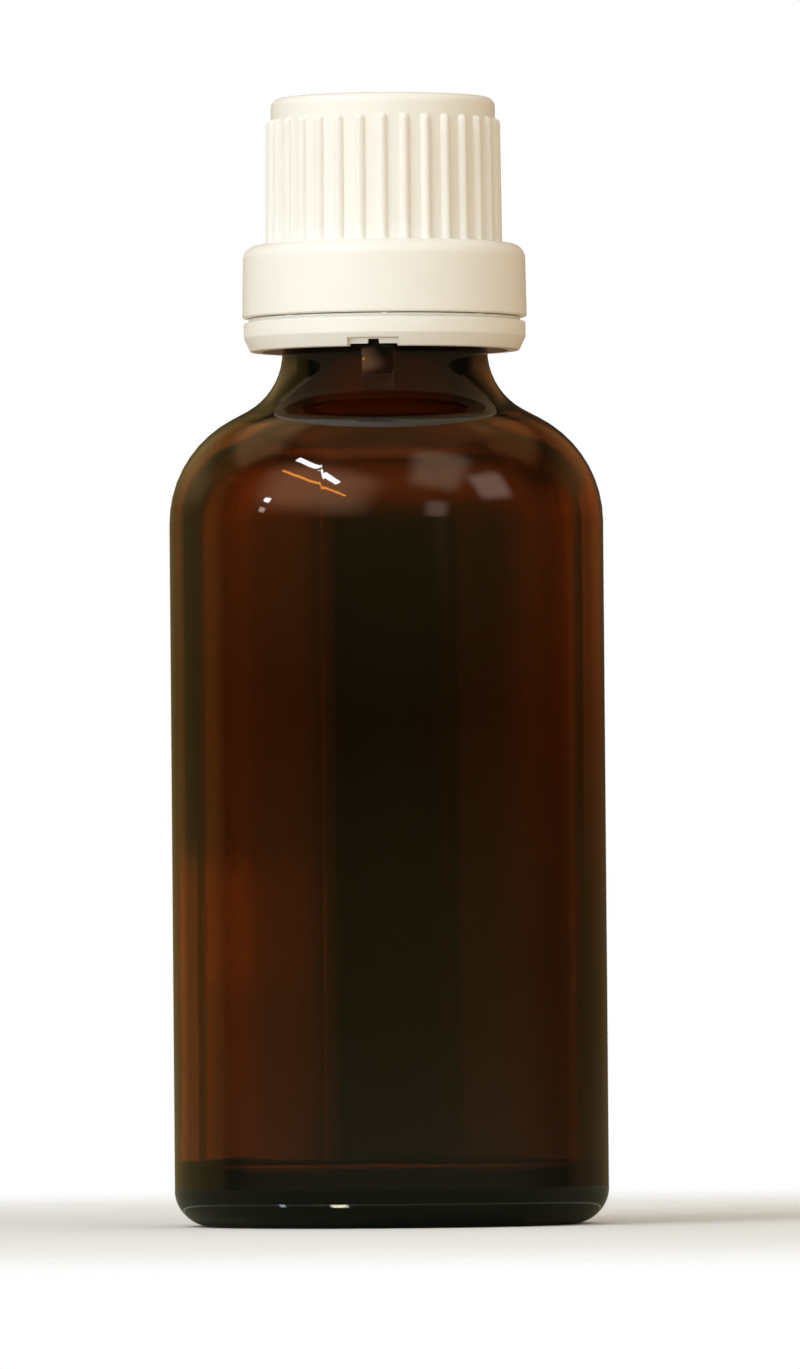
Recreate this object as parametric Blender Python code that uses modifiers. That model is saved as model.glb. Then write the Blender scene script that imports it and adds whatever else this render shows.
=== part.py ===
"""Amber glass dropper bottle, 50 ml, with a tamper-evident screw closure.

Five pieces share one vertical axis, the Z axis: the glass bottle, the dropper insert
pressed into its neck, the vent tube pressed into the insert, the tear-off ring and the
ribbed screw cap. The origin lies on the axis, in the plane that the bottle stands on.
The ring turns about the axis with the cap, and the cap climbs along it on the thread.
Units are metres, and -Y is the front.
"""

import math

import bmesh
import bpy
from mathutils import Matrix, Vector

MM = 0.001

# Glass body
BODY_DIAMETER = 37.0 * MM
STRAIGHT_WALL_HEIGHT = 59.75 * MM
GLASS_WALL = 2.0 * MM
HEEL_RADIUS = 3.2 * MM
INNER_HEEL_RADIUS = 1.6 * MM
STANDING_RING_WIDTH = 2.6 * MM
STANDING_RING_ROUNDING = 0.6 * MM
PUSH_UP_STEP = 0.8 * MM
PUSH_UP_RUN = 1.6 * MM
PUSH_UP_ROUNDING = 3.0 * MM
PUSH_UP_HEIGHT = 1.3 * MM
BASE_THICKNESS = 3.2 * MM
FLOOR_CROWN = 0.6 * MM

# Shoulder: a round edge, a short cone and a hollow fillet up to the neck
SHOULDER_RADIUS = 10.0 * MM
SHOULDER_TURN = math.radians(62)
NECK_FILLET_RADIUS = 5.7 * MM
INNER_NECK_FILLET_RADIUS = 7.0 * MM

# Neck finish: each diameter is stepped out from the bore
NECK_BORE_DIAMETER = 11.0 * MM
FINISH_WALL = 2.25 * MM
NECK_STEP = 1.0 * MM
NECK_LAND_HEIGHT = 3.0 * MM
BEAD_OVERHANG = 1.45 * MM
BEAD_HEIGHT = 2.5 * MM
BEAD_TOP_ROUNDING = 0.9 * MM
BEAD_EDGE_ROUNDING = 0.4 * MM
BEAD_RUN_OUT = 0.9 * MM
FINISH_HEIGHT = 16.6 * MM
RIM_OUTER_ROUNDING = 0.9 * MM
RIM_INNER_ROUNDING = 0.4 * MM

# Thread, right-handed, of one size on the glass and in the cap
THREAD_PITCH = 3.0 * MM
THREAD_ROUND_RADIUS = 0.8 * MM
THREAD_LIFT = 0.1 * MM
THREAD_RUNNING_GAP = 0.25 * MM
GLASS_THREAD_TURNS = 1.5
CAP_THREAD_TURNS = 1.25
THREAD_RUN_OUT_TURNS = 0.12
THREAD_STEPS_PER_TURN = 32
RIM_LAND_HEIGHT = 2.5 * MM

# Seats between pieces
SEAT_GAP = 0.3 * MM
PRESS_GAP = 0.2 * MM

# Dropper insert
PLUG_LENGTH = 9.0 * MM
PLUG_WALL = 0.9 * MM
PLUG_LEAD_IN = 0.6 * MM
SEALING_RIB_HEIGHT = 0.3 * MM
SEALING_RIB_WIDTH = 0.9 * MM
SEALING_RIB_COUNT = 3
FLANGE_SET_BACK = 0.25 * MM
FLANGE_THICKNESS = 1.2 * MM
FLANGE_ROUNDING = 0.3 * MM
NOZZLE_HEIGHT = 1.8 * MM
NOZZLE_BASE_DIAMETER = 3.8 * MM
NOZZLE_TIP_DIAMETER = 2.8 * MM
NOZZLE_TIP_ROUNDING = 0.3 * MM
DRIP_CHANNEL_DIAMETER = 1.2 * MM
DRIP_TUBE_WALL = 0.7 * MM
DRIP_TUBE_LENGTH = 4.5 * MM

# Vent tube and the socket that holds it
VENT_TUBE_DIAMETER = 2.2 * MM
VENT_TUBE_BORE = 1.2 * MM
VENT_TUBE_LENGTH = 14.5 * MM
VENT_HOLE_DIAMETER = 1.0 * MM
VENT_SOCKET_WALL = 0.6 * MM
VENT_SOCKET_LENGTH = 6.0 * MM

# Closure: skirt and tear-off ring
SKIRT_CLEARANCE = 0.4 * MM
SKIRT_WALL = 1.4 * MM
SKIRT_HEIGHT = 6.2 * MM
SKIRT_FLARE = 0.12 * MM
SKIRT_TOP_ROUNDING = 1.25 * MM
SKIRT_FOOT_ROUNDING = 0.2 * MM
SKIRT_SHOULDER_THICKNESS = 1.0 * MM
GROOVE_HEIGHT = 0.4 * MM
RING_BEAD_GAP = 0.55 * MM
RING_WALL = 1.5 * MM
RING_CHAMFER_HEIGHT = 1.15 * MM
RING_CHAMFER_DEPTH = 0.55 * MM
RING_EDGE_ROUNDING = 0.15 * MM
SNAP_THICKNESS = 0.6 * MM
SNAP_REACH_SHARE = 0.4

# Tear-off ring: release notches in its lower edge, and the bridges that break
NOTCH_COUNT = 2
NOTCH_ANGLE = math.radians(-5)
NOTCH_WIDTH = 4.6 * MM
NOTCH_HEIGHT = 0.68 * MM
FLAP_THICKNESS = 0.45 * MM
FLAP_RAISE = 0.22 * MM
FLAP_CORNER = 0.25 * MM
SLIT_WIDTH = 1.1 * MM
SLIT_HEIGHT = 0.6 * MM
BRIDGE_COUNT = 8
BRIDGE_WIDTH = 0.5 * MM
BRIDGE_HEIGHT = 0.2 * MM
BRIDGE_SET_BACK = 0.55 * MM

# Cap grip
CAP_WALL = 0.75 * MM
CAP_CEILING = 1.2 * MM
CAP_HEADROOM = 0.45 * MM
CAP_TOP_ROUNDING = 0.8 * MM
CAP_INNER_ROUNDING = 0.5 * MM
GRIP_FOOT_ROUNDING = 0.3 * MM
GRIP_DRAFT = 0.1 * MM
RIB_COUNT = 32
RIB_WIDTH = 0.75 * MM
RIB_HEIGHT = 0.43 * MM
RIB_ANGLE = math.radians(-0.55)
SMOOTH_BAND_HEIGHT = 1.8 * MM
SEAL_RING_GAP = 0.4 * MM
SEAL_RING_WALL = 0.8 * MM

# Modelling values
OVERRUN = 1.0 * MM
CHORD_ERROR = 0.06 * MM
WELD = 0.001 * MM
FRONT = math.radians(-90)
GLASS_SIDES = 48
CAP_SIDES = 48
SMALL_SIDES = 24
TUBE_SIDES = 20
SMOOTH_ANGLE = math.radians(32)
RIB_END_STEPS = 2

# Radii of the glass, out from the bore
BODY_R = BODY_DIAMETER / 2
BORE_R = NECK_BORE_DIAMETER / 2
CORE_R = BORE_R + FINISH_WALL
NECK_R = CORE_R + NECK_STEP
BEAD_R = NECK_R + BEAD_OVERHANG
THREAD_TIP_R = CORE_R + THREAD_LIFT + THREAD_ROUND_RADIUS

# Radii of the closure, out from the glass
CAP_BORE_R = THREAD_TIP_R + THREAD_RUNNING_GAP
GRIP_R = CAP_BORE_R + CAP_WALL
SKIRT_INNER_R = BEAD_R + SKIRT_CLEARANCE
SKIRT_R = SKIRT_INNER_R + SKIRT_WALL
RING_INNER_R = SKIRT_R - RING_WALL
SNAP_R = NECK_R + SNAP_REACH_SHARE * (BEAD_R - NECK_R)

# Heights of the glass, up from the plane it stands on
CONE_RISE = 1 / math.tan(SHOULDER_TURN)
CORNER_RISE = math.tan(SHOULDER_TURN / 2)
SHOULDER_CORNER_Z = STRAIGHT_WALL_HEIGHT + SHOULDER_RADIUS * CORNER_RISE
NECK_CORNER_Z = SHOULDER_CORNER_Z + (BODY_R - NECK_R) * CONE_RISE
NECK_BASE_Z = NECK_CORNER_Z + NECK_FILLET_RADIUS * CORNER_RISE
BEAD_Z = NECK_BASE_Z + NECK_LAND_HEIGHT
BEAD_TOP_Z = BEAD_Z + BEAD_HEIGHT
RIM_Z = NECK_BASE_Z + FINISH_HEIGHT
GLASS_THREAD_Z = RIM_Z - RIM_LAND_HEIGHT - GLASS_THREAD_TURNS * THREAD_PITCH

# Radii of the insert, in from the bore and out from the drip channel
PLUG_R = BORE_R - PRESS_GAP - SEALING_RIB_HEIGHT
PLUG_INNER_R = PLUG_R - PLUG_WALL
CHANNEL_R = DRIP_CHANNEL_DIAMETER / 2
DRIP_TUBE_R = CHANNEL_R + DRIP_TUBE_WALL
VENT_OFFSET = (DRIP_TUBE_R + PLUG_INNER_R) / 2

# Heights of the insert, up from the rim
FLANGE_Z = RIM_Z + SEAT_GAP
FLANGE_TOP_Z = FLANGE_Z + FLANGE_THICKNESS
NOZZLE_TOP_Z = FLANGE_TOP_Z + NOZZLE_HEIGHT

# Heights of the closure
RING_TOP_Z = BEAD_Z - RING_BEAD_GAP
SKIRT_Z = RING_TOP_Z + GROOVE_HEIGHT
SKIRT_TOP_Z = SKIRT_Z + SKIRT_HEIGHT
CEILING_Z = NOZZLE_TOP_Z + CAP_HEADROOM
CAP_TOP_Z = CEILING_Z + CAP_CEILING
RIB_TOP_Z = CAP_TOP_Z - SMOOTH_BAND_HEIGHT
CAP_BORE_FOOT_Z = SKIRT_TOP_Z - SKIRT_SHOULDER_THICKNESS


def clear_scene():
    """Removes every object, so that the model starts from nothing."""
    for item in list(bpy.data.objects):
        bpy.data.objects.remove(item)


def new_collection(name):
    """A collection under the scene's own."""
    collection = bpy.data.collections.new(name)
    bpy.context.scene.collection.children.link(collection)
    return collection


def new_material(name, color, roughness, metallic=0.0, transmission=0.0):
    """A Principled material of one plain finish."""
    material = bpy.data.materials.new(name)
    material.use_nodes = True
    shader = material.node_tree.nodes["Principled BSDF"]
    shader.inputs["Base Color"].default_value = (*color, 1.0)
    shader.inputs["Roughness"].default_value = roughness
    shader.inputs["Metallic"].default_value = metallic
    shader.inputs["Transmission Weight"].default_value = transmission
    return material


def fillet_reach(before, corner, after):
    """How far a corner's rounding takes up its sides, and the angle that it turns."""
    inward = (Vector(corner[:2]) - Vector(before[:2])).normalized()
    onward = (Vector(after[:2]) - Vector(corner[:2])).normalized()
    turn = inward.angle(onward)
    return corner[2] * math.tan(turn / 2), turn


def rounded(corners, closed=False):
    """The points of an outline with its corners rounded.

    Each corner is (distance from the axis, height, rounding radius). Where two roundings
    would run into each other on the side between them, both shrink alike.
    """
    count = len(corners)
    reach = [0.0] * count
    turns = [0.0] * count
    inner = range(count) if closed else range(1, count - 1)
    for i in inner:
        reach[i], turns[i] = fillet_reach(corners[i - 1], corners[i], corners[(i + 1) % count])
    wanted = list(reach)
    for i in range(count if closed else count - 1):
        j = (i + 1) % count
        side = (Vector(corners[j][:2]) - Vector(corners[i][:2])).length
        if wanted[i] + wanted[j] > side:
            fit = side / (wanted[i] + wanted[j])
            reach[i] = min(reach[i], wanted[i] * fit)
            reach[j] = min(reach[j], wanted[j] * fit)
    points = []
    for i, corner in enumerate(corners):
        if reach[i] < WELD:
            points.append(tuple(corner[:2]))
            continue
        points += corner_arc(corners[i - 1], corner, corners[(i + 1) % count], reach[i], turns[i])
    return [p for i, p in enumerate(points) if i == 0 or math.dist(p, points[i - 1]) > WELD]


def corner_arc(before, corner, after, reach, turn):
    """The points of one rounded corner, as many as keep the chords near the arc."""
    here = Vector(corner[:2])
    back = (Vector(before[:2]) - here).normalized()
    on = (Vector(after[:2]) - here).normalized()
    radius = reach / math.tan(turn / 2)
    centre = here + (back + on).normalized() * math.hypot(radius, reach)
    chord_angle = 2 * math.acos(1 - min(CHORD_ERROR / radius, 1))
    steps = max(2, math.ceil(turn / chord_angle))
    first = here + back * reach - centre
    last = here + on * reach - centre
    arc = [first * math.sin(turn * (1 - k / steps)) + last * math.sin(turn * k / steps)
           for k in range(steps + 1)]
    return [tuple(centre + point / math.sin(turn)) for point in arc]


def link_mesh(name, mesh, collection):
    """A mesh as an object of a collection."""
    item = bpy.data.objects.new(name, mesh)
    collection.objects.link(item)
    return item


def turned(name, outline, sides, collection, closed=False):
    """A solid turned about the Z axis from an outline that runs down its outer side."""
    points = [(r, 0.0, z) for r, z in outline]
    edges = [(i, i + 1) for i in range(len(points) - 1)]
    if closed:
        edges.append((len(points) - 1, 0))
    mesh = bpy.data.meshes.new(name)
    mesh.from_pydata(points, edges, [])
    item = link_mesh(name, mesh, collection)
    screw = item.modifiers.new("Turn", "SCREW")
    screw.axis = "Z"
    screw.angle = math.tau
    screw.steps = sides
    screw.render_steps = sides
    screw.use_merge_vertices = True
    screw.merge_threshold = WELD
    return item


def baked_mesh(item):
    """The mesh that an object's modifiers or bevel give, with its caps welded."""
    graph = bpy.context.evaluated_depsgraph_get()
    mesh = bpy.data.meshes.new_from_object(item.evaluated_get(graph))
    shape = bmesh.new()
    shape.from_mesh(mesh)
    bmesh.ops.remove_doubles(shape, verts=shape.verts, dist=WELD)
    bmesh.ops.recalc_face_normals(shape, faces=shape.faces)
    shape.to_mesh(mesh)
    shape.free()
    return mesh


def tube_mesh(name, path, radius, shares, collection):
    """A closed round bar along a path, whose radius at each point is a share of the full one."""
    curve = bpy.data.curves.new(name, "CURVE")
    curve.dimensions = "3D"
    curve.twist_mode = "Z_UP"
    curve.bevel_depth = radius
    curve.bevel_resolution = 2
    curve.use_fill_caps = True
    spline = curve.splines.new("POLY")
    spline.points.add(len(path) - 1)
    for point, place, share in zip(spline.points, path, shares):
        point.co = (*place, 1.0)
        point.radius = share
    guide = link_mesh(name, curve, collection)
    mesh = baked_mesh(guide)
    bpy.data.objects.remove(guide)
    return mesh


def repeated(name, mesh, angles, collection):
    """One object holding a copy of a mesh at each angle about the Z axis."""
    shape = bmesh.new()
    for angle in angles:
        copy = mesh.copy()
        copy.transform(Matrix.Rotation(angle, 4, "Z"))
        shape.from_mesh(copy)
        bpy.data.meshes.remove(copy)
    joined = bpy.data.meshes.new(name)
    shape.to_mesh(joined)
    shape.free()
    return link_mesh(name, joined, collection)


def prism_mesh(name, outline, near, far):
    """A flat (y, z) outline carried straight outwards, from near to far along +X."""
    shape = bmesh.new()
    end = shape.faces.new([shape.verts.new((near, y, z)) for y, z in outline])
    grown = bmesh.ops.extrude_face_region(shape, geom=[end])["geom"]
    moved = [item for item in grown if isinstance(item, bmesh.types.BMVert)]
    bmesh.ops.translate(shape, vec=(far - near, 0, 0), verts=moved)
    bmesh.ops.recalc_face_normals(shape, faces=shape.faces)
    mesh = bpy.data.meshes.new(name)
    shape.to_mesh(mesh)
    shape.free()
    return mesh


def upright_box(name, half_width, low_z, high_z, near, far):
    """A box across the +X axis."""
    outline = [(-half_width, low_z), (half_width, low_z), (half_width, high_z), (-half_width, high_z)]
    return prism_mesh(name, outline, near, far)


def rod(name, radius, low_z, high_z, collection, offset=0.0, sides=SMALL_SIDES):
    """An upright round bar, its axis set off from the Z axis along +X."""
    shape = bmesh.new()
    bmesh.ops.create_cone(shape, cap_ends=True, segments=sides, radius1=radius, radius2=radius,
                          depth=high_z - low_z)
    bmesh.ops.translate(shape, vec=(offset, 0, (low_z + high_z) / 2), verts=shape.verts)
    mesh = bpy.data.meshes.new(name)
    shape.to_mesh(mesh)
    shape.free()
    return link_mesh(name, mesh, collection)


def join(item, tool, operation):
    """Adds a Boolean of a tool, which stays in the file as a wire helper."""
    tool.hide_render = True
    tool.display_type = "WIRE"
    step = item.modifiers.new(f"{operation.title()} {tool.name}", "BOOLEAN")
    step.operation = operation
    step.solver = "EXACT"
    step.object = tool


def finish(item, material):
    """Bakes a piece's modifiers, shades it and gives it its material."""
    mesh = baked_mesh(item)
    item.modifiers.clear()
    item.data = mesh
    mesh.shade_smooth()
    mesh.set_sharp_from_angle(angle=SMOOTH_ANGLE)
    mesh.materials.clear()
    mesh.materials.append(material)
    return item


def even_angles(count, start):
    """Angles spread evenly round the axis, from the front plus a start angle."""
    return [FRONT + start + math.tau * i / count for i in range(count)]


def run_out_shares(count, run_out):
    """A thread's height along its points, as shares: it rises from each end over run_out points."""
    return [math.sin(math.pi / 2 * min(1, (min(i, count - 1 - i) + 1) / run_out))
            for i in range(count)]


def thread_mesh(name, surface_r, side, start_z, start_turn, turns, collection):
    """A round-topped thread on a cylinder of radius surface_r.

    side is 1 on a neck and -1 in a cap. start_z is the height of turn 0, so threads with
    one start_z run together. The ends sink into the surface as they grow thin.
    """
    count = round(turns * THREAD_STEPS_PER_TURN) + 1
    shares = run_out_shares(count, THREAD_RUN_OUT_TURNS * THREAD_STEPS_PER_TURN)
    path = []
    for i, share in enumerate(shares):
        turn = start_turn + i / THREAD_STEPS_PER_TURN
        lift = THREAD_LIFT * share - THREAD_ROUND_RADIUS * (1 - share) / 2
        radius = surface_r + side * lift
        angle = FRONT + math.tau * turn
        path.append((radius * math.cos(angle), radius * math.sin(angle), start_z + THREAD_PITCH * turn))
    return tube_mesh(name, path, THREAD_ROUND_RADIUS, shares, collection)


def glass_outline():
    """The bottle's outline: up the inside from the floor, over the rim and down the outside."""
    inner_r = BODY_R - GLASS_WALL
    inner_shoulder = SHOULDER_RADIUS - GLASS_WALL
    inner_corner_z = STRAIGHT_WALL_HEIGHT + inner_shoulder * CORNER_RISE
    bore_corner_z = inner_corner_z + (inner_r - BORE_R) * CONE_RISE
    floor_z = PUSH_UP_HEIGHT + BASE_THICKNESS
    stand_r = BODY_R - HEEL_RADIUS - STANDING_RING_WIDTH
    return rounded([
        (0.0, floor_z, 0.0),
        (inner_r, floor_z - FLOOR_CROWN, INNER_HEEL_RADIUS),
        (inner_r, inner_corner_z, inner_shoulder),
        (BORE_R, bore_corner_z, INNER_NECK_FILLET_RADIUS),
        (BORE_R, RIM_Z, RIM_INNER_ROUNDING),
        (CORE_R, RIM_Z, RIM_OUTER_ROUNDING),
        (CORE_R, BEAD_TOP_Z + BEAD_RUN_OUT, BEAD_EDGE_ROUNDING),
        (BEAD_R, BEAD_TOP_Z, BEAD_TOP_ROUNDING),
        (BEAD_R, BEAD_Z, BEAD_EDGE_ROUNDING),
        (NECK_R, BEAD_Z, BEAD_EDGE_ROUNDING),
        (NECK_R, NECK_CORNER_Z, NECK_FILLET_RADIUS),
        (BODY_R, SHOULDER_CORNER_Z, SHOULDER_RADIUS),
        (BODY_R, 0.0, HEEL_RADIUS),
        (stand_r, 0.0, STANDING_RING_ROUNDING),
        (stand_r - PUSH_UP_RUN, PUSH_UP_STEP, PUSH_UP_ROUNDING),
        (0.0, PUSH_UP_HEIGHT, 0.0),
    ])


def make_glass_bottle(parts, tools, material):
    """The blown bottle: a turned shell with its thread joined on."""
    bottle = turned("glass_bottle", glass_outline(), GLASS_SIDES, parts)
    thread = thread_mesh("glass_thread", CORE_R, 1, GLASS_THREAD_Z, 0.0, GLASS_THREAD_TURNS, tools)
    join(bottle, link_mesh("glass_thread", thread, tools), "UNION")
    return finish(bottle, material)


def insert_outline():
    """The insert's outline, with the drip channel through its middle."""
    plug_z = FLANGE_Z - PLUG_LENGTH
    drip_z = FLANGE_Z - DRIP_TUBE_LENGTH
    flange_r = CORE_R - FLANGE_SET_BACK
    corners = [
        (CHANNEL_R, NOZZLE_TOP_Z, 0.0),
        (NOZZLE_TIP_DIAMETER / 2, NOZZLE_TOP_Z, NOZZLE_TIP_ROUNDING),
        (NOZZLE_BASE_DIAMETER / 2, FLANGE_TOP_Z, NOZZLE_TIP_ROUNDING),
        (flange_r, FLANGE_TOP_Z, FLANGE_ROUNDING),
        (flange_r, FLANGE_Z, 0.0),
        (PLUG_R, FLANGE_Z, 0.0),
    ]
    corners += sealing_ribs()
    corners += [
        (PLUG_R, plug_z + PLUG_LEAD_IN, 0.0),
        (PLUG_R - PLUG_LEAD_IN, plug_z, 0.0),
        (PLUG_INNER_R, plug_z, 0.0),
        (PLUG_INNER_R, FLANGE_Z, 0.0),
        (DRIP_TUBE_R, FLANGE_Z, 0.0),
        (DRIP_TUBE_R, drip_z, 0.0),
        (CHANNEL_R, drip_z, 0.0),
    ]
    return rounded(corners, closed=True)


def sealing_ribs():
    """Corners of the sealing ribs, spread evenly down the plug. Each is a low V."""
    spacing = PLUG_LENGTH / (SEALING_RIB_COUNT + 1)
    corners = []
    for i in range(SEALING_RIB_COUNT):
        middle = FLANGE_Z - spacing * (i + 1)
        corners += [
            (PLUG_R, middle + SEALING_RIB_WIDTH / 2, 0.0),
            (PLUG_R + SEALING_RIB_HEIGHT, middle, 0.0),
            (PLUG_R, middle - SEALING_RIB_WIDTH / 2, 0.0),
        ]
    return corners


def make_dropper_insert(parts, tools, material):
    """The pressed-in dropper: a turned plug and nozzle with a socket for the vent tube."""
    insert = turned("dropper_insert", insert_outline(), SMALL_SIDES, parts, closed=True)
    bore_r = VENT_TUBE_DIAMETER / 2 + PRESS_GAP
    socket_z = FLANGE_Z - VENT_SOCKET_LENGTH
    flange_middle_z = FLANGE_Z + FLANGE_THICKNESS / 2
    socket = rod("vent_socket", bore_r + VENT_SOCKET_WALL, socket_z, flange_middle_z, tools,
                 offset=VENT_OFFSET, sides=TUBE_SIDES)
    bore = rod("vent_socket_bore", bore_r, socket_z - OVERRUN, FLANGE_Z, tools,
               offset=VENT_OFFSET, sides=TUBE_SIDES)
    hole = rod("vent_hole", VENT_HOLE_DIAMETER / 2, FLANGE_Z - OVERRUN, FLANGE_TOP_Z + OVERRUN, tools,
               offset=VENT_OFFSET, sides=TUBE_SIDES)
    join(insert, socket, "UNION")
    join(insert, bore, "DIFFERENCE")
    join(insert, hole, "DIFFERENCE")
    return finish(insert, material)


def make_vent_tube(parts, material):
    """The air tube, pressed up into the insert's socket."""
    top_z = FLANGE_Z - SEAT_GAP
    bottom_z = top_z - VENT_TUBE_LENGTH
    outer_r = VENT_TUBE_DIAMETER / 2
    bore_r = VENT_TUBE_BORE / 2
    outline = [(outer_r, top_z), (outer_r, bottom_z), (bore_r, bottom_z), (bore_r, top_z)]
    tube = turned("vent_tube", outline, TUBE_SIDES, parts, closed=True)
    mesh = baked_mesh(tube)
    mesh.transform(Matrix.Translation((VENT_OFFSET, 0, 0)))
    tube.modifiers.clear()
    tube.data = mesh
    return finish(tube, material)


def ring_outline():
    """The ring's outline: a chamfered band with a snap bead turned in at its top."""
    snap_foot_z = RING_TOP_Z - SNAP_THICKNESS - (RING_INNER_R - SNAP_R)
    return rounded([
        (SKIRT_R, RING_TOP_Z, RING_EDGE_ROUNDING),
        (SKIRT_R, NECK_BASE_Z + RING_CHAMFER_HEIGHT, 0.0),
        (SKIRT_R - RING_CHAMFER_DEPTH, NECK_BASE_Z, RING_EDGE_ROUNDING),
        (RING_INNER_R, NECK_BASE_Z, 0.0),
        (RING_INNER_R, max(snap_foot_z, NECK_BASE_Z + SLIT_HEIGHT), 0.0),
        (SNAP_R, RING_TOP_Z - SNAP_THICKNESS, 0.0),
        (SNAP_R, RING_TOP_Z, 0.0),
    ], closed=True)


def make_tamper_ring(parts, tools, material):
    """The tear-off ring: release notches with flaps behind them, and bridge stubs on top."""
    ring = turned("tamper_ring", ring_outline(), GLASS_SIDES, parts, closed=True)
    angles = even_angles(NOTCH_COUNT, NOTCH_ANGLE)
    below_z = NECK_BASE_Z - OVERRUN
    flap_r = RING_INNER_R + FLAP_THICKNESS
    notch = upright_box("notch", NOTCH_WIDTH / 2, below_z, NECK_BASE_Z + NOTCH_HEIGHT, flap_r,
                        SKIRT_R + OVERRUN)
    flap_gap = prism_mesh("flap_gap", flap_gap_outline(below_z), RING_INNER_R - OVERRUN,
                          flap_r + FLAP_THICKNESS)
    join(ring, repeated("release_notches", notch, angles, tools), "DIFFERENCE")
    join(ring, repeated("flap_gaps", flap_gap, angles, tools), "DIFFERENCE")
    bridge_r = SKIRT_R - BRIDGE_SET_BACK
    bridge = upright_box("bridge", BRIDGE_WIDTH / 2, RING_TOP_Z - BRIDGE_WIDTH,
                         RING_TOP_Z + BRIDGE_HEIGHT, bridge_r - BRIDGE_WIDTH, bridge_r)
    join(ring, repeated("bridges", bridge, even_angles(BRIDGE_COUNT, 0.0), tools), "UNION")
    return finish(ring, material)


def flap_gap_outline(below_z):
    """What is missing behind a notch: the flap's lower edge and the slit up its middle."""
    edge = NOTCH_WIDTH / 2 - FLAP_CORNER
    slit = SLIT_WIDTH / 2
    flap_z = NECK_BASE_Z + FLAP_RAISE
    slit_z = NECK_BASE_Z + SLIT_HEIGHT
    right = [(slit, slit_z), (slit, flap_z), (edge, flap_z), (edge, below_z)]
    left = [(-y, z) for y, z in reversed(right)]
    return left + right


def cap_outline():
    """The cap's outline: from the ceiling's middle up and over, down the outside and back inside."""
    seal_inner_r = VENT_OFFSET + VENT_HOLE_DIAMETER / 2 + SEAL_RING_GAP
    seal_r = seal_inner_r + SEAL_RING_WALL
    seal_z = FLANGE_TOP_Z + SEAT_GAP
    step_z = CAP_BORE_FOOT_Z - SKIRT_SHOULDER_THICKNESS
    return rounded([
        (0.0, CAP_TOP_Z, 0.0),
        (GRIP_R - GRIP_DRAFT, CAP_TOP_Z, CAP_TOP_ROUNDING),
        (GRIP_R, SKIRT_TOP_Z, GRIP_FOOT_ROUNDING),
        (SKIRT_R, SKIRT_TOP_Z, SKIRT_TOP_ROUNDING),
        (SKIRT_R + SKIRT_FLARE, SKIRT_Z, SKIRT_FOOT_ROUNDING),
        (SKIRT_INNER_R, SKIRT_Z, 0.0),
        (SKIRT_INNER_R, step_z, 0.0),
        (CAP_BORE_R, CAP_BORE_FOOT_Z, 0.0),
        (CAP_BORE_R, CEILING_Z, CAP_INNER_ROUNDING),
        (seal_r, CEILING_Z, 0.0),
        (seal_r, seal_z, 0.0),
        (seal_inner_r, seal_z, 0.0),
        (seal_inner_r, CEILING_Z, 0.0),
        (0.0, CEILING_Z, 0.0),
    ])


def rib_mesh(tools):
    """One upright grip rib at +X, leaning in with the draft, its top end rounded."""
    half = RIB_WIDTH / 2
    crest = GRIP_R + RIB_HEIGHT - half
    foot_z = SKIRT_TOP_Z - SKIRT_SHOULDER_THICKNESS / 2
    shares = [1.0]
    heights = [foot_z]
    for k in range(RIB_END_STEPS + 1):
        angle = math.pi / 2 * k / (RIB_END_STEPS + 1)
        shares.append(math.cos(angle))
        heights.append(RIB_TOP_Z - half + half * math.sin(angle))
    lean = GRIP_DRAFT / (CAP_TOP_Z - SKIRT_TOP_Z)
    path = [(crest - half * (1 - share) - lean * (z - SKIRT_TOP_Z), 0.0, z)
            for share, z in zip(shares, heights)]
    return tube_mesh("rib", path, half, shares, tools)


def make_screw_cap(parts, tools, material):
    """The screw cap: a turned shell with a ring of ribs outside and the thread inside."""
    cap = turned("screw_cap", cap_outline(), CAP_SIDES, parts)
    ribs = repeated("grip_ribs", rib_mesh(tools), even_angles(RIB_COUNT, RIB_ANGLE), tools)
    start_z = GLASS_THREAD_Z - THREAD_PITCH / 2
    start_turn = (CAP_BORE_FOOT_Z + THREAD_ROUND_RADIUS - start_z) / THREAD_PITCH
    coil = thread_mesh("cap_thread", CAP_BORE_R, -1, start_z, start_turn, CAP_THREAD_TURNS, tools)
    thread = link_mesh("cap_thread", coil, tools)
    trim = rod("cap_thread_back", CAP_BORE_R + CAP_WALL / 2, CAP_BORE_FOOT_Z - OVERRUN,
               CAP_TOP_Z + OVERRUN, tools, sides=CAP_SIDES)
    join(thread, trim, "INTERSECT")
    join(cap, ribs, "UNION")
    join(cap, thread, "UNION")
    return finish(cap, material)


def main():
    """Builds the bottle, its dropper and its closure."""
    clear_scene()
    parts = new_collection("amber_dropper_bottle")
    tools = new_collection("cutters")
    amber = new_material("amber_glass", (0.30, 0.085, 0.010), 0.04, transmission=1.0)
    clear_white = new_material("natural_polyethylene", (0.86, 0.87, 0.86), 0.45)
    tube_white = new_material("tube_polyethylene", (0.80, 0.83, 0.85), 0.40)
    white = new_material("white_polypropylene", (0.88, 0.86, 0.81), 0.38)
    ring_white = new_material("white_polyethylene", (0.87, 0.85, 0.80), 0.42)
    make_glass_bottle(parts, tools, amber)
    make_dropper_insert(parts, tools, clear_white)
    make_vent_tube(parts, tube_white)
    make_tamper_ring(parts, tools, ring_white)
    make_screw_cap(parts, tools, white)


main()
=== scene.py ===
"""Looks of an amber glass dropper bottle with a ribbed, tamper-evident screw closure.

Every visible piece is a surface in cylinder coordinates: an outline turned about the Z axis,
worked out as whole arrays of distance, angle and height, whose distance or height is then
changed by a formula for its thread, ribs, notches or seams. Units are metres, -Y is the front.
"""

from __future__ import annotations

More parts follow.
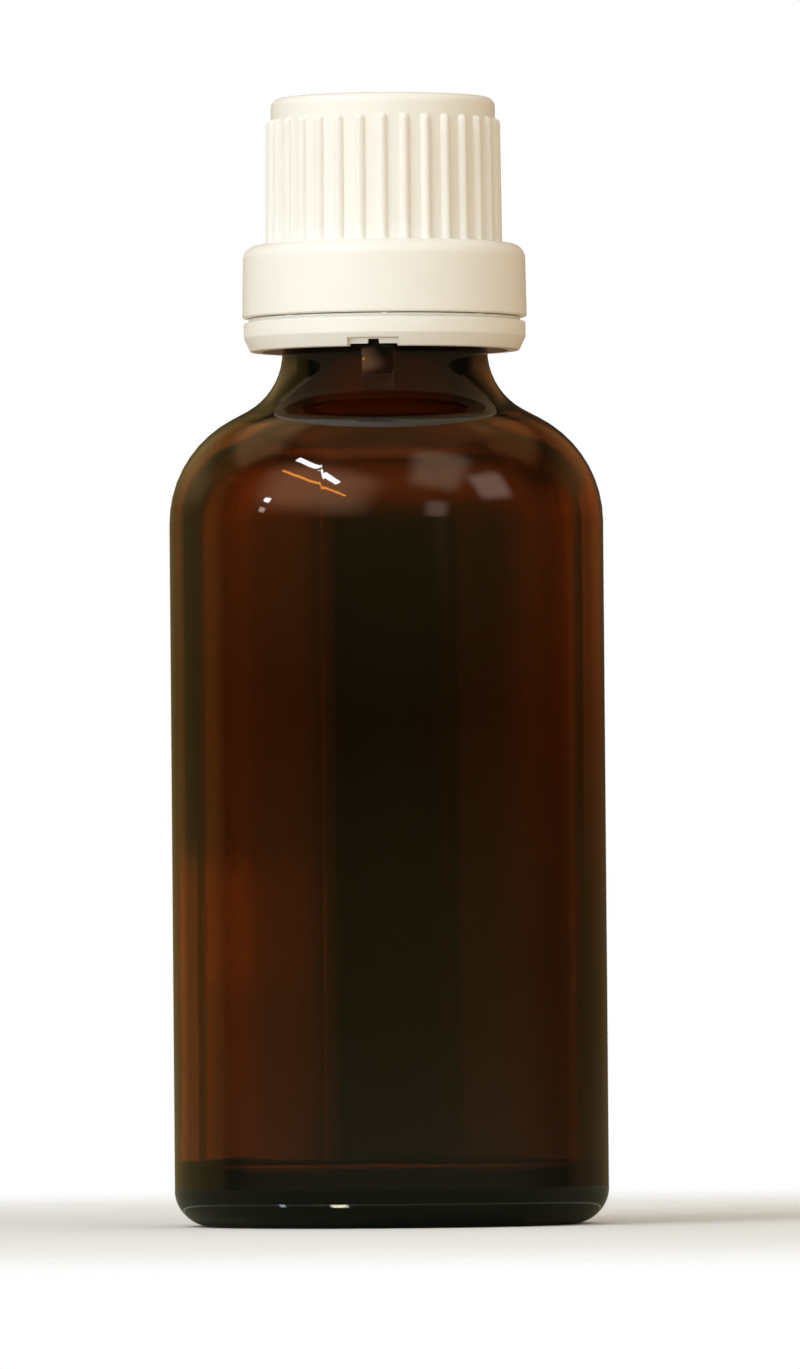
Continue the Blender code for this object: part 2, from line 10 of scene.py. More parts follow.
import logging
import math
from collections.abc import Callable, Sequence
from dataclasses import dataclass, field
from enum import Enum

import bmesh
import bpy
import numpy as np
from mathutils import Matrix, Vector


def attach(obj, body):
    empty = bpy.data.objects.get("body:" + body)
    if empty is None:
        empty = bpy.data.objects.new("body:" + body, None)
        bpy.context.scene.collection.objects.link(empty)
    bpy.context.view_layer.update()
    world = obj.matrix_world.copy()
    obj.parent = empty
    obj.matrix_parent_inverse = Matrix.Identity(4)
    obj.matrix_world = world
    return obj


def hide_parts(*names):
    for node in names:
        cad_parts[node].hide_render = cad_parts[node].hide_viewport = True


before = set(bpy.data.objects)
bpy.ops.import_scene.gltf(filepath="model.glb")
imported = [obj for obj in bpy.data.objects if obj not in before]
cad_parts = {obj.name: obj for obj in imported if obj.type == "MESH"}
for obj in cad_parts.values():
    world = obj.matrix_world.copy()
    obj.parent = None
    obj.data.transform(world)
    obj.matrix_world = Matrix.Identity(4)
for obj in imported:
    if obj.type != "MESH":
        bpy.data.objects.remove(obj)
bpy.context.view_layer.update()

LOG = logging.getLogger("bottle")

MM = 0.001
FRONT = math.radians(-90)
ARC_STEP = math.radians(7)  # The most that a rounding turns in one step.
MIN_ARC_STEPS = 3
RUN_STEP = 2.5 * MM  # The longest undivided piece of an outline.
SUPPORT = 0.12 * MM  # How far from its ends a long straight run has its added points.
LONG_RUN = 6 * SUPPORT
WELD = 0.0005 * MM  # Points closer than this become one.
SHARP_ANGLE = math.radians(38)
STEEP = 0.01 * MM  # The width of a flank that passes for upright.
PATTERN_SPAN = (0.3, 0.7)  # Where most of a noise pattern lies.
WHITE = (1.0, 1.0, 1.0)
AMBER_LIGHT = (1.0, 0.28, 0.06)

Array = np.ndarray
Color = tuple[float, float, float]
Socket = bpy.types.NodeSocket


class Body(Enum):
    """The rigid bodies that pieces ride on."""

    BOTTLE = "bottle"
    RING = "ring"
    CAP = "cap"


class Reach(Enum):
    """Whether a lamp shows in gloss, lights the pieces and is seen through glass."""

    ALL = (True, True, True)
    PIECES = (False, True, False)
    GLASS = (True, False, True)
    BEHIND_GLASS = (False, False, True)
    GLOSS = (True, False, False)


def smooth_step(values: Array, low: float, high: float) -> Array:
    """Rises from 0 at low to 1 at high as 3t^2 - 2t^3.

    Args:
        values: Where it is wanted.
        low: Where it leaves 0.
        high: Where it reaches 1. It may lie below low, and the step then falls.

    Returns:
        The step at each value.
    """
    share = np.clip((values - low) / (high - low), 0.0, 1.0)
    return share * share * (3.0 - 2.0 * share)


def plateau(values: Array, half_width: float, edge: float) -> Array:
    """Is 1 within half_width of 0 and falls to 0 over the edge beyond it.

    Args:
        values: Signed distances from the middle.
        half_width: Half the width of the flat part.
        edge: The width of each flank.

    Returns:
        The plateau's height at each value.
    """
    return smooth_step(np.abs(values), half_width + edge, half_width)


def wrapped(angle: Array) -> Array:
    """Brings angles into the half turn either side of 0."""
    return (angle + math.pi) % math.tau - math.pi


def nearest_copy(angle: Array, count: int, first: float) -> Array:
    """The signed angle to the nearest of evenly spread copies.

    Args:
        angle: Angles about the Z axis.
        count: How many copies stand round the axis.
        first: The first copy's angle, counted from the front.

    Returns:
        The signed angle from the nearest copy to each angle.
    """
    pitch = math.tau / count
    return (angle - FRONT - first + pitch / 2) % pitch - pitch / 2


def even_angles(count: int) -> Array:
    """Angles spread evenly round the axis."""
    return np.arange(count) * math.tau / count


def gathered_angles(even: int, places: Sequence[float], offsets: Array) -> Array:
    """Even angles round the axis, with more of them gathered at some places.

    Args:
        even: How many angles are spread evenly.
        places: The angles that need finer steps.
        offsets: The finer steps, as signed angles from each place.

    Returns:
        The angles in rising order within one turn.
    """
    spread = even_angles(even)
    fine = (np.asarray(places)[:, None] + offsets[None, :]).ravel() % math.tau
    finest = np.diff(np.sort(offsets)).min()
    clear = np.abs(wrapped(spread[:, None] - fine[None, :])).min(1) > finest
    return np.unique(np.concatenate((spread[clear], fine)))


@dataclass(frozen=True)
class Corner:
    """One corner of an outline: its distance from the axis, height and rounding radius."""

    r: float
    z: float
    rounding: float = 0.0


def rounded_outline(corners: Sequence[Corner], closed: bool = False, run_step: float = RUN_STEP,
                    plain: bool = False) -> Array:
    """An outline with its corners rounded and its long runs divided.

    A rounding of radius q that turns by t takes up q tan(t/2) of each side. Its points are the
    spherical blend of the two radii at its ends. Where two roundings meet, both shrink alike.

    Args:
        corners: The outline's corners in order.
        closed: Whether the last corner joins the first.
        run_step: The longest piece that a straight run may keep.
        plain: Whether the straight runs stay undivided.

    Returns:
        The points as rows of distance and height.
    """
    spots = np.array([(c.r, c.z) for c in corners])
    radii = np.array([c.rounding for c in corners])
    to_back = np.roll(spots, 1, 0) - spots
    to_next = np.roll(spots, -1, 0) - spots
    sides = np.linalg.norm(to_next, axis=1)
    to_back /= np.linalg.norm(to_back, axis=1)[:, None]
    to_next /= sides[:, None]
    turns = math.pi - np.arccos(np.clip((to_back * to_next).sum(1), -1.0, 1.0))
    if not closed:
        radii[[0, -1]] = 0.0
    reach = radii * np.tan(turns / 2)
    onward = sides / np.maximum(reach + np.roll(reach, -1), WELD)
    reach *= np.minimum(1.0, np.minimum(onward, np.roll(onward, 1)))
    stretches = []
    for spot, back, on, turn, part in zip(spots, to_back, to_next, turns, reach):
        if part < WELD:
            stretches.append(spot[None, :])
            continue
        centre = spot + (back + on) / np.linalg.norm(back + on) * part / math.sin(turn / 2)
        share = np.linspace(0.0, 1.0, max(MIN_ARC_STEPS, math.ceil(turn / ARC_STEP)) + 1)[:, None]
        first, last = spot + back * part - centre, spot + on * part - centre
        blend = first * np.sin(turn * (1 - share)) + last * np.sin(turn * share)
        stretches.append(centre + blend / math.sin(turn))
    if plain:
        return np.concatenate(stretches)
    return divided(supported(stretches, closed), closed, run_step)


def divided(points: Array, closed: bool, run_step: float) -> Array:
    """Splits each run of an outline that is longer than run_step into equal pieces.

    Args:
        points: The outline's points as rows of distance and height.
        closed: Whether the last point joins the first.
        run_step: The longest piece that may stay.

    Returns:
        The points, without doubled ones.
    """
    starts, ends = (points, np.roll(points, -1, 0)) if closed else (points[:-1], points[1:])
    lengths = np.linalg.norm(ends - starts, axis=1)
    kept = lengths > WELD
    starts, ends, lengths = starts[kept], ends[kept], lengths[kept]
    counts = np.ceil(lengths / run_step).astype(int)
    owner = np.repeat(np.arange(len(counts)), counts)
    first = np.repeat(np.cumsum(counts) - counts, counts)
    share = (np.arange(counts.sum()) - first) / counts[owner]
    made = starts[owner] + share[:, None] * (ends[owner] - starts[owner])
    return made if closed else np.concatenate((made, ends[-1:]))


def supported(stretches: Sequence[Array], closed: bool) -> Array:
    """Joins an outline's corners by straight runs, with a point near both ends of each long one.

    The added points keep the smooth shading of a straight run flat up to its ends.

    Args:
        stretches: The points of each corner, in order.
        closed: Whether the last corner joins the first.

    Returns:
        The outline's points.
    """
    joined = []
    for place, stretch in enumerate(stretches):
        joined.append(stretch)
        if place == len(stretches) - 1 and not closed:
            break
        start, end = stretch[-1], stretches[(place + 1) % len(stretches)][0]
        length = float(np.linalg.norm(end - start))
        if length > LONG_RUN:
            share = np.array([[SUPPORT], [length - SUPPORT]]) / length
            joined.append(start + share * (end - start))
    return np.concatenate(joined)


@dataclass
class Turned:
    """A surface in cylinder coordinates: a row for each outline point, a column for each angle."""

    radius: Array
    angle: Array
    height: Array
    closed: bool = False

    @classmethod
    def from_outline(cls, outline: Array, angles: Array, closed: bool = False) -> Turned:
        """Turns an outline about the Z axis.

        Args:
            outline: Rows of distance and height.
            angles: The angle of each column.
            closed: Whether the outline's last point joins its first.

        Returns:
            The surface.
        """
        ones = np.ones(len(angles))
        return cls(np.outer(outline[:, 0], ones), np.outer(np.ones(len(outline)), angles),
                   np.outer(outline[:, 1], ones), closed)

    def mesh(self, name: str) -> bpy.types.Mesh:
        """Makes a closed mesh with its faces outwards: x = r cos a, y = r sin a, z = height.

        Args:
            name: The mesh's name.

        Returns:
            The mesh, with poles and doubled points merged.
        """
        rows, columns = self.radius.shape
        points = np.stack((self.radius * np.cos(self.angle), self.radius * np.sin(self.angle),
                           self.height), -1).reshape(-1, 3)
        row = np.arange(rows if self.closed else rows - 1)[:, None]
        column = np.arange(columns)[None, :]
        below, beside = (row + 1) % rows, (column + 1) % columns
        quads = np.stack((row * columns + column, row * columns + beside,
                          below * columns + beside, below * columns + column), -1).reshape(-1, 4)
        first, second, third, fourth = (points[quads[:, k]] for k in range(4))
        volume = (np.cross(second - first, third - first) * first).sum()
        volume += (np.cross(third - first, fourth - first) * first).sum()
        if volume < 0:
            quads = quads[:, ::-1]
        mesh = bpy.data.meshes.new(name)
        mesh.from_pydata(points, [], quads)
        welded(mesh)
        return mesh


def welded(mesh: bpy.types.Mesh) -> None:
    """Merges a mesh's doubled points, which closes its poles, and shades it smooth.

    Args:
        mesh: The mesh that is changed.
    """
    shape = bmesh.new()
    shape.from_mesh(mesh)
    bmesh.ops.remove_doubles(shape, verts=shape.verts, dist=WELD)
    bmesh.ops.dissolve_degenerate(shape, edges=shape.edges, dist=WELD)
    shape.to_mesh(mesh)
    shape.free()
    mesh.shade_smooth()
    mesh.set_sharp_from_angle(angle=SHARP_ANGLE)


def linked(data: bpy.types.ID) -> bpy.types.Object:
    """Puts a mesh, lamp or camera into the scene as an object with its name, at the origin.

    Args:
        data: What the object shows.

    Returns:
        The object.
    """
    item = bpy.data.objects.new(data.name, data)
    bpy.context.scene.collection.objects.link(item)
    return item


def seated(item: bpy.types.Object, body: Body, node: str, finish: Finish) -> bpy.types.Object:
    """Dresses a piece, sets it on its body and lets it stand for its CAD node.

    Args:
        item: The piece.
        body: The body that it rides on.
        node: The CAD node that it replaces.
        finish: Its finish, named as the record's material slot.

    Returns:
        The piece.
    """
    item.data.materials.clear()
    item.data.materials.append(finish.material())
    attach(item, body.value)
    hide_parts(node)
    LOG.info("%s: %d faces in %s", item.name, len(item.data.polygons), finish.slot)
    return item


class Nodes:
    """A node tree while it is put together. A name given for a socket has _ for a space."""

    def __init__(self, tree: bpy.types.NodeTree) -> None:
        """Starts with a tree as it is."""
        self.tree = tree

    def give(self, target: Socket, value: Socket | float | Sequence[float]) -> None:
        """Joins another node's output to an input, or sets it to a plain value.

        Args:
            target: The input.
            value: The output or plain value.
        """
        if isinstance(value, Socket):
            self.tree.links.new(value, target)
        else:
            target.default_value = value

    def node(self, kind: str, *sources: Socket | float | Sequence[float],
             **values: Socket | float | Sequence[float] | str) -> bpy.types.Node:
        """Adds a node.

        Args:
            kind: The node's type without its ShaderNode prefix.
            *sources: What its first inputs get, in order.
            **values: What other inputs get, and settings, whose names start with a small letter.

        Returns:
            The node.
        """
        made = self.tree.nodes.new(f"ShaderNode{kind}")
        for name, value in values.items():
            if name[0].islower():
                setattr(made, name, value)
            else:
                self.give(made.inputs[name.replace("_", " ")], value)
        for source, target in zip(sources, made.inputs):
            self.give(target, source)
        return made

    def math(self, operation: str, first: Socket, second: Socket | float = 0.0) -> Socket:
        """Adds a Math node and returns its value."""
        return self.node("Math", first, second, operation=operation).outputs["Value"]

    def step(self, source: Socket, *limits: float) -> Socket:
        """Maps a value smoothly, from low and high to 0 and 1, or to two more limits."""
        made = self.node("MapRange", source, *limits, interpolation_type="SMOOTHSTEP")
        return made.outputs["Result"]

    def mix(self, share: Socket, first: Socket | Color, second: Socket | Color) -> Socket:
        """Blends two colours, each a socket or plain, and returns the result."""
        ends = (color if isinstance(color, Socket) else (*color, 1.0) for color in (first, second))
        return self.node("MixRGB", share, *ends).outputs["Color"]

    def ramp(self, source: Socket, stops: Sequence[tuple[float, Color]]) -> Socket:
        """Blends colours by a value.

        Args:
            source: The value, 0 to 1.
            stops: Values with their colours, in rising order.

        Returns:
            The colour's socket.
        """
        made = self.node("ValToRGB", source)
        elements = made.color_ramp.elements
        while len(elements) < len(stops):
            elements.new(0.5)
        for element, (stop, color) in zip(elements, stops):
            element.position = stop
            element.color = (*color, 1.0)
        return made.outputs["Color"]


class Paint(Nodes):
    """A piece's material while it is put together round its Principled shader."""

    def __init__(self, name: str) -> None:
        """Starts a material.

        Args:
            name: The material's name.
        """
        self.result = bpy.data.materials.new(name)
        self.result.use_nodes = True
        super().__init__(self.result.node_tree)
        self.shader = self.tree.nodes["Principled BSDF"]

    def set(self, **values: Socket | float | Sequence[float]) -> None:
        """Gives the shader's sockets plain values or other nodes' outputs."""
        for name, value in values.items():
            self.give(self.shader.inputs[name.replace("_", " ")], value)

    def noise(self, size: float, rise: float = 1.0, detail: float = 2.0) -> Socket:
        """A noise pattern on Object coordinates.

        Args:
            size: The pattern's feature size in metres.
            rise: How much coarser it is along the Z axis.
            detail: Its octaves.

        Returns:
            The pattern's socket, about 0 to 1.
        """
        place = self.node("TexCoord").outputs["Object"]
        scaled = self.node("Mapping", place, Scale=(1.0 / size, 1.0 / size, 1.0 / (size * rise)))
        made = self.node("TexNoise", scaled.outputs["Vector"], Scale=1.0, Detail=detail)
        return made.outputs["Fac"]

    def spread(self, source: Socket, low: float, high: float) -> Socket:
        """Maps the middle part of a pattern, where most of it lies, to low to high."""
        return self.node("MapRange", source, *PATTERN_SPAN, low, high).outputs["Result"]

    def bumps(self, *layers: tuple[Socket, float]) -> None:
        """Lays bump patterns over each other and gives them to the shader.

        Args:
            *layers: Each pattern with its height in metres.
        """
        normal = None
        for source, distance in layers:
            bump = self.node("Bump", Strength=1.0, Distance=distance, Height=source)
            if normal is not None:
                self.give(bump.inputs["Normal"], normal)
            normal = bump.outputs["Normal"]
        self.set(Normal=normal)


@dataclass(frozen=True)
class Finish:
    """A finish, named after the material slot of the record that it dresses."""

    slot: str

    def material(self) -> bpy.types.Material:
        """Builds the finish as a node material."""
        raise NotImplementedError


@dataclass(frozen=True)
class MouldedPlastic(Finish):
    """Injection-moulded plastic: a warm white with a faint cloud, a fine grain and soft sinks."""

    light: Color
    deep: Color
    roughness: float
    ior: float = 1.49
    cloud_size: float = 3.0 * MM
    cloud_detail: float = 3.0
    grain_size: float = 0.14 * MM
    grain_height: float = 0.0025 * MM
    sink_size: float = 4.5 * MM
    sink_height: float = 0.02 * MM
    roughness_play: float = 0.05

    def material(self) -> bpy.types.Material:
        """Builds the plastic.

        Returns:
            The material.
        """
        paint = Paint(f"moulded_{self.slot}")
        cloud = paint.noise(self.cloud_size, detail=self.cloud_detail)
        gloss = paint.spread(paint.noise(self.cloud_size / 2), self.roughness - self.roughness_play,
                             self.roughness + self.roughness_play)
        paint.set(IOR=self.ior, Roughness=gloss,
                  Base_Color=paint.ramp(cloud, tuple(zip(PATTERN_SPAN, (self.light, self.deep)))))
        paint.bumps((paint.noise(self.sink_size), self.sink_height),
                    (paint.noise(self.grain_size), self.grain_height))
        return paint.result


@dataclass(frozen=True)
class BlownGlass(Finish):
    """Blown amber glass: polished, tinted where light enters and leaves, deeper in thick places."""

    tint: Color
    depth_color: Color
    density: float
    ior: float = 1.52
    roughness: float = 0.012
    smudge: float = 0.02
    smudge_size: float = 9.0 * MM
    smudge_rise: float = 1.6
    ripple_size: float = 7.0 * MM
    ripple_rise: float = 4.0
    ripple_height: float = 0.012 * MM
    draw_size: float = 1.5 * MM
    draw_rise: float = 30.0
    draw_height: float = 0.003 * MM

    def material(self) -> bpy.types.Material:
        """Builds the glass.

        Returns:
            The material.
        """
        paint = Paint(f"blown_{self.slot}")
        gloss = paint.spread(paint.noise(self.smudge_size, self.smudge_rise), self.roughness,
                             self.roughness + self.smudge)
        paint.set(Base_Color=(*self.tint, 1.0), IOR=self.ior, Transmission_Weight=1.0,
                  Roughness=gloss)
        paint.bumps((paint.noise(self.ripple_size, self.ripple_rise), self.ripple_height),
                    (paint.noise(self.draw_size, self.draw_rise), self.draw_height))
        depth = paint.node("VolumeAbsorption", (*self.depth_color, 1.0), self.density)
        paint.give(paint.tree.nodes["Material Output"].inputs["Volume"], depth.outputs["Volume"])
        return paint.result


AMBER_GLASS = BlownGlass("amber_glass", (0.35, 0.32, 0.25), (0.3855, 0.278, 0.021), 1300.0)
WHITE_CAP = MouldedPlastic("white_polypropylene", (0.89, 0.865, 0.81), (0.875, 0.85, 0.79), 0.36)
WHITE_RING = MouldedPlastic("white_polyethylene", (0.88, 0.855, 0.795), (0.865, 0.835, 0.77), 0.42)
CLEAR_INSERT = MouldedPlastic("natural_polyethylene", (0.86, 0.87, 0.86), (0.82, 0.83, 0.82), 0.45)
CLEAR_TUBE = MouldedPlastic("tube_polyethylene", (0.80, 0.83, 0.85), (0.77, 0.80, 0.82), 0.4)


@dataclass(frozen=True)
class Thread:
    """A right-handed round thread, one start."""

    pitch: float = 3.0 * MM
    height: float = 0.9 * MM
    half_width: float = 1.12 * MM
    run_out_turns: float = 0.14

    def relief(self, angle: Array, z: Array, start_z: float, first_turn: float,
               turns: float) -> Array:
        """How far the thread stands off its cylinder.

        At each point the nearest turn of the helix z = start_z + pitch x turn is found. With u the
        distance from it over the half width, the relief is height x (1 - u^2)^1.5, and it dies
        away as a sine over the run-out at both ends.

        Args:
            angle: Angles about the axis.
            z: Heights.
            start_z: The helix's height at turn 0, at the front.
            first_turn: The turn where the thread starts.
            turns: How many turns it has.

        Returns:
            The relief at each point.
        """
        within = (angle - FRONT) / math.tau % 1.0
        turn = within + np.round((z - start_z) / self.pitch - within)
        away = np.clip(np.abs(z - start_z - self.pitch * turn) / self.half_width, 0.0, 1.0)
        end = np.minimum(turn - first_turn, first_turn + turns - turn)
        fade = np.sin(math.pi / 2 * np.clip(end / self.run_out_turns, 0.0, 1.0))
        return self.height * (1.0 - away**2) ** 1.5 * fade


@dataclass
class GlassBottle:
    """The blown bottle with its neck finish."""

    body_diameter: float = 37.0 * MM
    straight_wall_height: float = 59.75 * MM
    wall: float = 2.0 * MM
    heel_radius: float = 3.2 * MM
    inner_heel_radius: float = 1.6 * MM
    standing_ring_width: float = 2.6 * MM
    standing_ring_rounding: float = 0.6 * MM
    push_up_step: float = 0.8 * MM
    push_up_run: float = 1.6 * MM
    push_up_rounding: float = 3.0 * MM
    push_up_height: float = 1.3 * MM
    base_thickness: float = 3.2 * MM
    floor_crown: float = 0.6 * MM
    shoulder_radius: float = 10.0 * MM
    shoulder_turn: float = math.radians(62)
    neck_fillet: float = 5.7 * MM
    inner_neck_fillet: float = 7.0 * MM
    bore_diameter: float = 11.0 * MM
    finish_wall: float = 2.25 * MM
    neck_step: float = 1.0 * MM
    neck_land: float = 3.0 * MM
    bead_overhang: float = 1.45 * MM
    bead_height: float = 2.5 * MM
    bead_top_rounding: float = 0.9 * MM
    bead_edge_rounding: float = 0.4 * MM
    bead_run_out: float = 0.9 * MM
    finish_height: float = 16.6 * MM
    rim_outer_rounding: float = 0.9 * MM
    rim_inner_rounding: float = 0.4 * MM
    thread_turns: float = 1.5
    rim_land: float = 2.5 * MM
    thread: Thread = field(default_factory=Thread)

    columns: int = 192
    fine_run: float = 0.14 * MM
    seam_count: int = 2
    seam_angle: float = math.radians(72.5)
    seam_height: float = 0.006 * MM
    seam_width: float = 0.2 * MM
    seam_reach: float = 2.0
    seam_steps: int = 13
    inner_wave: float = 0.045 * MM
    wave_lobes: tuple[int, ...] = (2, 3, 5, 8, 13)
    wave_shares: tuple[float, ...] = (1.0, 0.7, 0.45, 0.3, 0.2)

    def __post_init__(self) -> None:
        """Works out the radii and heights that other pieces share."""
        self.cone_rise = 1 / math.tan(self.shoulder_turn)
        self.corner_rise = math.tan(self.shoulder_turn / 2)
        self.body_r = self.body_diameter / 2
        self.bore_r = self.bore_diameter / 2
        self.core_r = self.bore_r + self.finish_wall
        self.neck_r = self.core_r + self.neck_step
        self.bead_r = self.neck_r + self.bead_overhang
        self.shoulder_z = self.straight_wall_height + self.shoulder_radius * self.corner_rise
        self.neck_z = self.shoulder_z + (self.body_r - self.neck_r) * self.cone_rise
        self.neck_base_z = self.neck_z + self.neck_fillet * self.corner_rise
        self.bead_z = self.neck_base_z + self.neck_land
        self.bead_top_z = self.bead_z + self.bead_height
        self.rim_z = self.neck_base_z + self.finish_height
        self.thread_z = self.rim_z - self.rim_land - self.thread_turns * self.thread.pitch

    def inner_outline(self) -> Array:
        """The inside, from the floor's middle up to the rim's middle.

        Returns:
            Rows of distance and height.
        """
        inner_r = self.body_r - self.wall
        inner_shoulder = self.shoulder_radius - self.wall
        corner_z = self.straight_wall_height + inner_shoulder * self.corner_rise
        floor_z = self.push_up_height + self.base_thickness
        return rounded_outline([
            Corner(0.0, floor_z),
            Corner(inner_r, floor_z - self.floor_crown, self.inner_heel_radius),
            Corner(inner_r, corner_z, inner_shoulder),
            Corner(self.bore_r, corner_z + (inner_r - self.bore_r) * self.cone_rise,
                   self.inner_neck_fillet),
            Corner(self.bore_r, self.rim_z, self.rim_inner_rounding),
            Corner((self.bore_r + self.core_r) / 2, self.rim_z),
        ])

    def finish_outline(self) -> Array:
        """The threaded stretch outside, from the rim's middle down to the bead, in short runs.

        Returns:
            Rows of distance and height.
        """
        return rounded_outline([
            Corner((self.bore_r + self.core_r) / 2, self.rim_z),
            Corner(self.core_r, self.rim_z, self.rim_outer_rounding),
            Corner(self.core_r, self.bead_top_z + self.bead_run_out + self.bead_edge_rounding),
        ], run_step=self.fine_run)

    def outer_outline(self) -> Array:
        """The outside, from above the bead down to the middle of the base.

        Returns:
            Rows of distance and height.
        """
        stand_r = self.body_r - self.heel_radius - self.standing_ring_width
        return rounded_outline([
            Corner(self.core_r, self.bead_top_z + self.bead_run_out + self.bead_edge_rounding),
            Corner(self.core_r, self.bead_top_z + self.bead_run_out, self.bead_edge_rounding),
            Corner(self.bead_r, self.bead_top_z, self.bead_top_rounding),
            Corner(self.bead_r, self.bead_z, self.bead_edge_rounding),
            Corner(self.neck_r, self.bead_z, self.bead_edge_rounding),
            Corner(self.neck_r, self.neck_z, self.neck_fillet),
            Corner(self.body_r, self.shoulder_z, self.shoulder_radius),
            Corner(self.body_r, 0.0, self.heel_radius),
            Corner(stand_r, 0.0, self.standing_ring_rounding),
            Corner(stand_r - self.push_up_run, self.push_up_step, self.push_up_rounding),
            Corner(0.0, self.push_up_height),
        ])

    def waves(self, angle: Array) -> Array:
        """The blown inside's unevenness round the axis.

        It is the sum of share x cos(n x angle + n^2) over the lobe counts n.

        Args:
            angle: Angles about the axis.

        Returns:
            The unevenness, as a multiple of the wave's height.
        """
        total = np.zeros_like(angle)
        for lobes, share in zip(self.wave_lobes, self.wave_shares):
            total += share * np.cos(lobes * angle + lobes * lobes)
        return total

    def build(self) -> bpy.types.Object:
        """Builds the glass: inside, threaded finish and outside as one closed surface.

        The inside is moved by its waves, which fade out towards the neck and the base, and the
        finish by its thread. A seam stands off the outside as height x exp(-(distance / width)^2).

        Returns:
            The piece.
        """
        inside, threaded = self.inner_outline(), self.finish_outline()
        outside = self.outer_outline()
        seams = self.seam_angle + even_angles(self.seam_count)
        offsets = np.linspace(-self.seam_reach, self.seam_reach, self.seam_steps)
        offsets *= self.seam_width / self.body_r
        angles = gathered_angles(self.columns, seams, offsets)
        outline = np.concatenate((inside, threaded[1:], outside[1:]))
        surface = Turned.from_outline(outline, angles)
        is_inside = np.arange(len(outline))[:, None] < len(inside)
        is_outside = ~is_inside & (outline[:, 1] > self.heel_radius)[:, None]
        body_share = smooth_step(surface.height, self.neck_base_z, self.shoulder_z)
        body_share *= smooth_step(surface.height, self.base_thickness, 3 * self.base_thickness)
        surface.radius += is_inside * body_share * self.inner_wave * self.waves(surface.angle)
        thread = self.thread.relief(surface.angle, surface.height, self.thread_z, 0.0,
                                    self.thread_turns)
        surface.radius += ~is_inside * (surface.height > self.bead_top_z) * thread
        to_seam = nearest_copy(surface.angle, self.seam_count, self.seam_angle - FRONT)
        to_seam *= surface.radius
        fade = smooth_step(surface.height, self.heel_radius, 2 * self.heel_radius)
        seam = self.seam_height * np.exp(-(to_seam / self.seam_width) ** 2) * fade
        surface.radius += is_outside * (surface.height < self.rim_z - self.rim_land) * seam
        item = linked(surface.mesh("amber_bottle"))
        return seated(item, Body.BOTTLE, "glass_bottle", AMBER_GLASS)


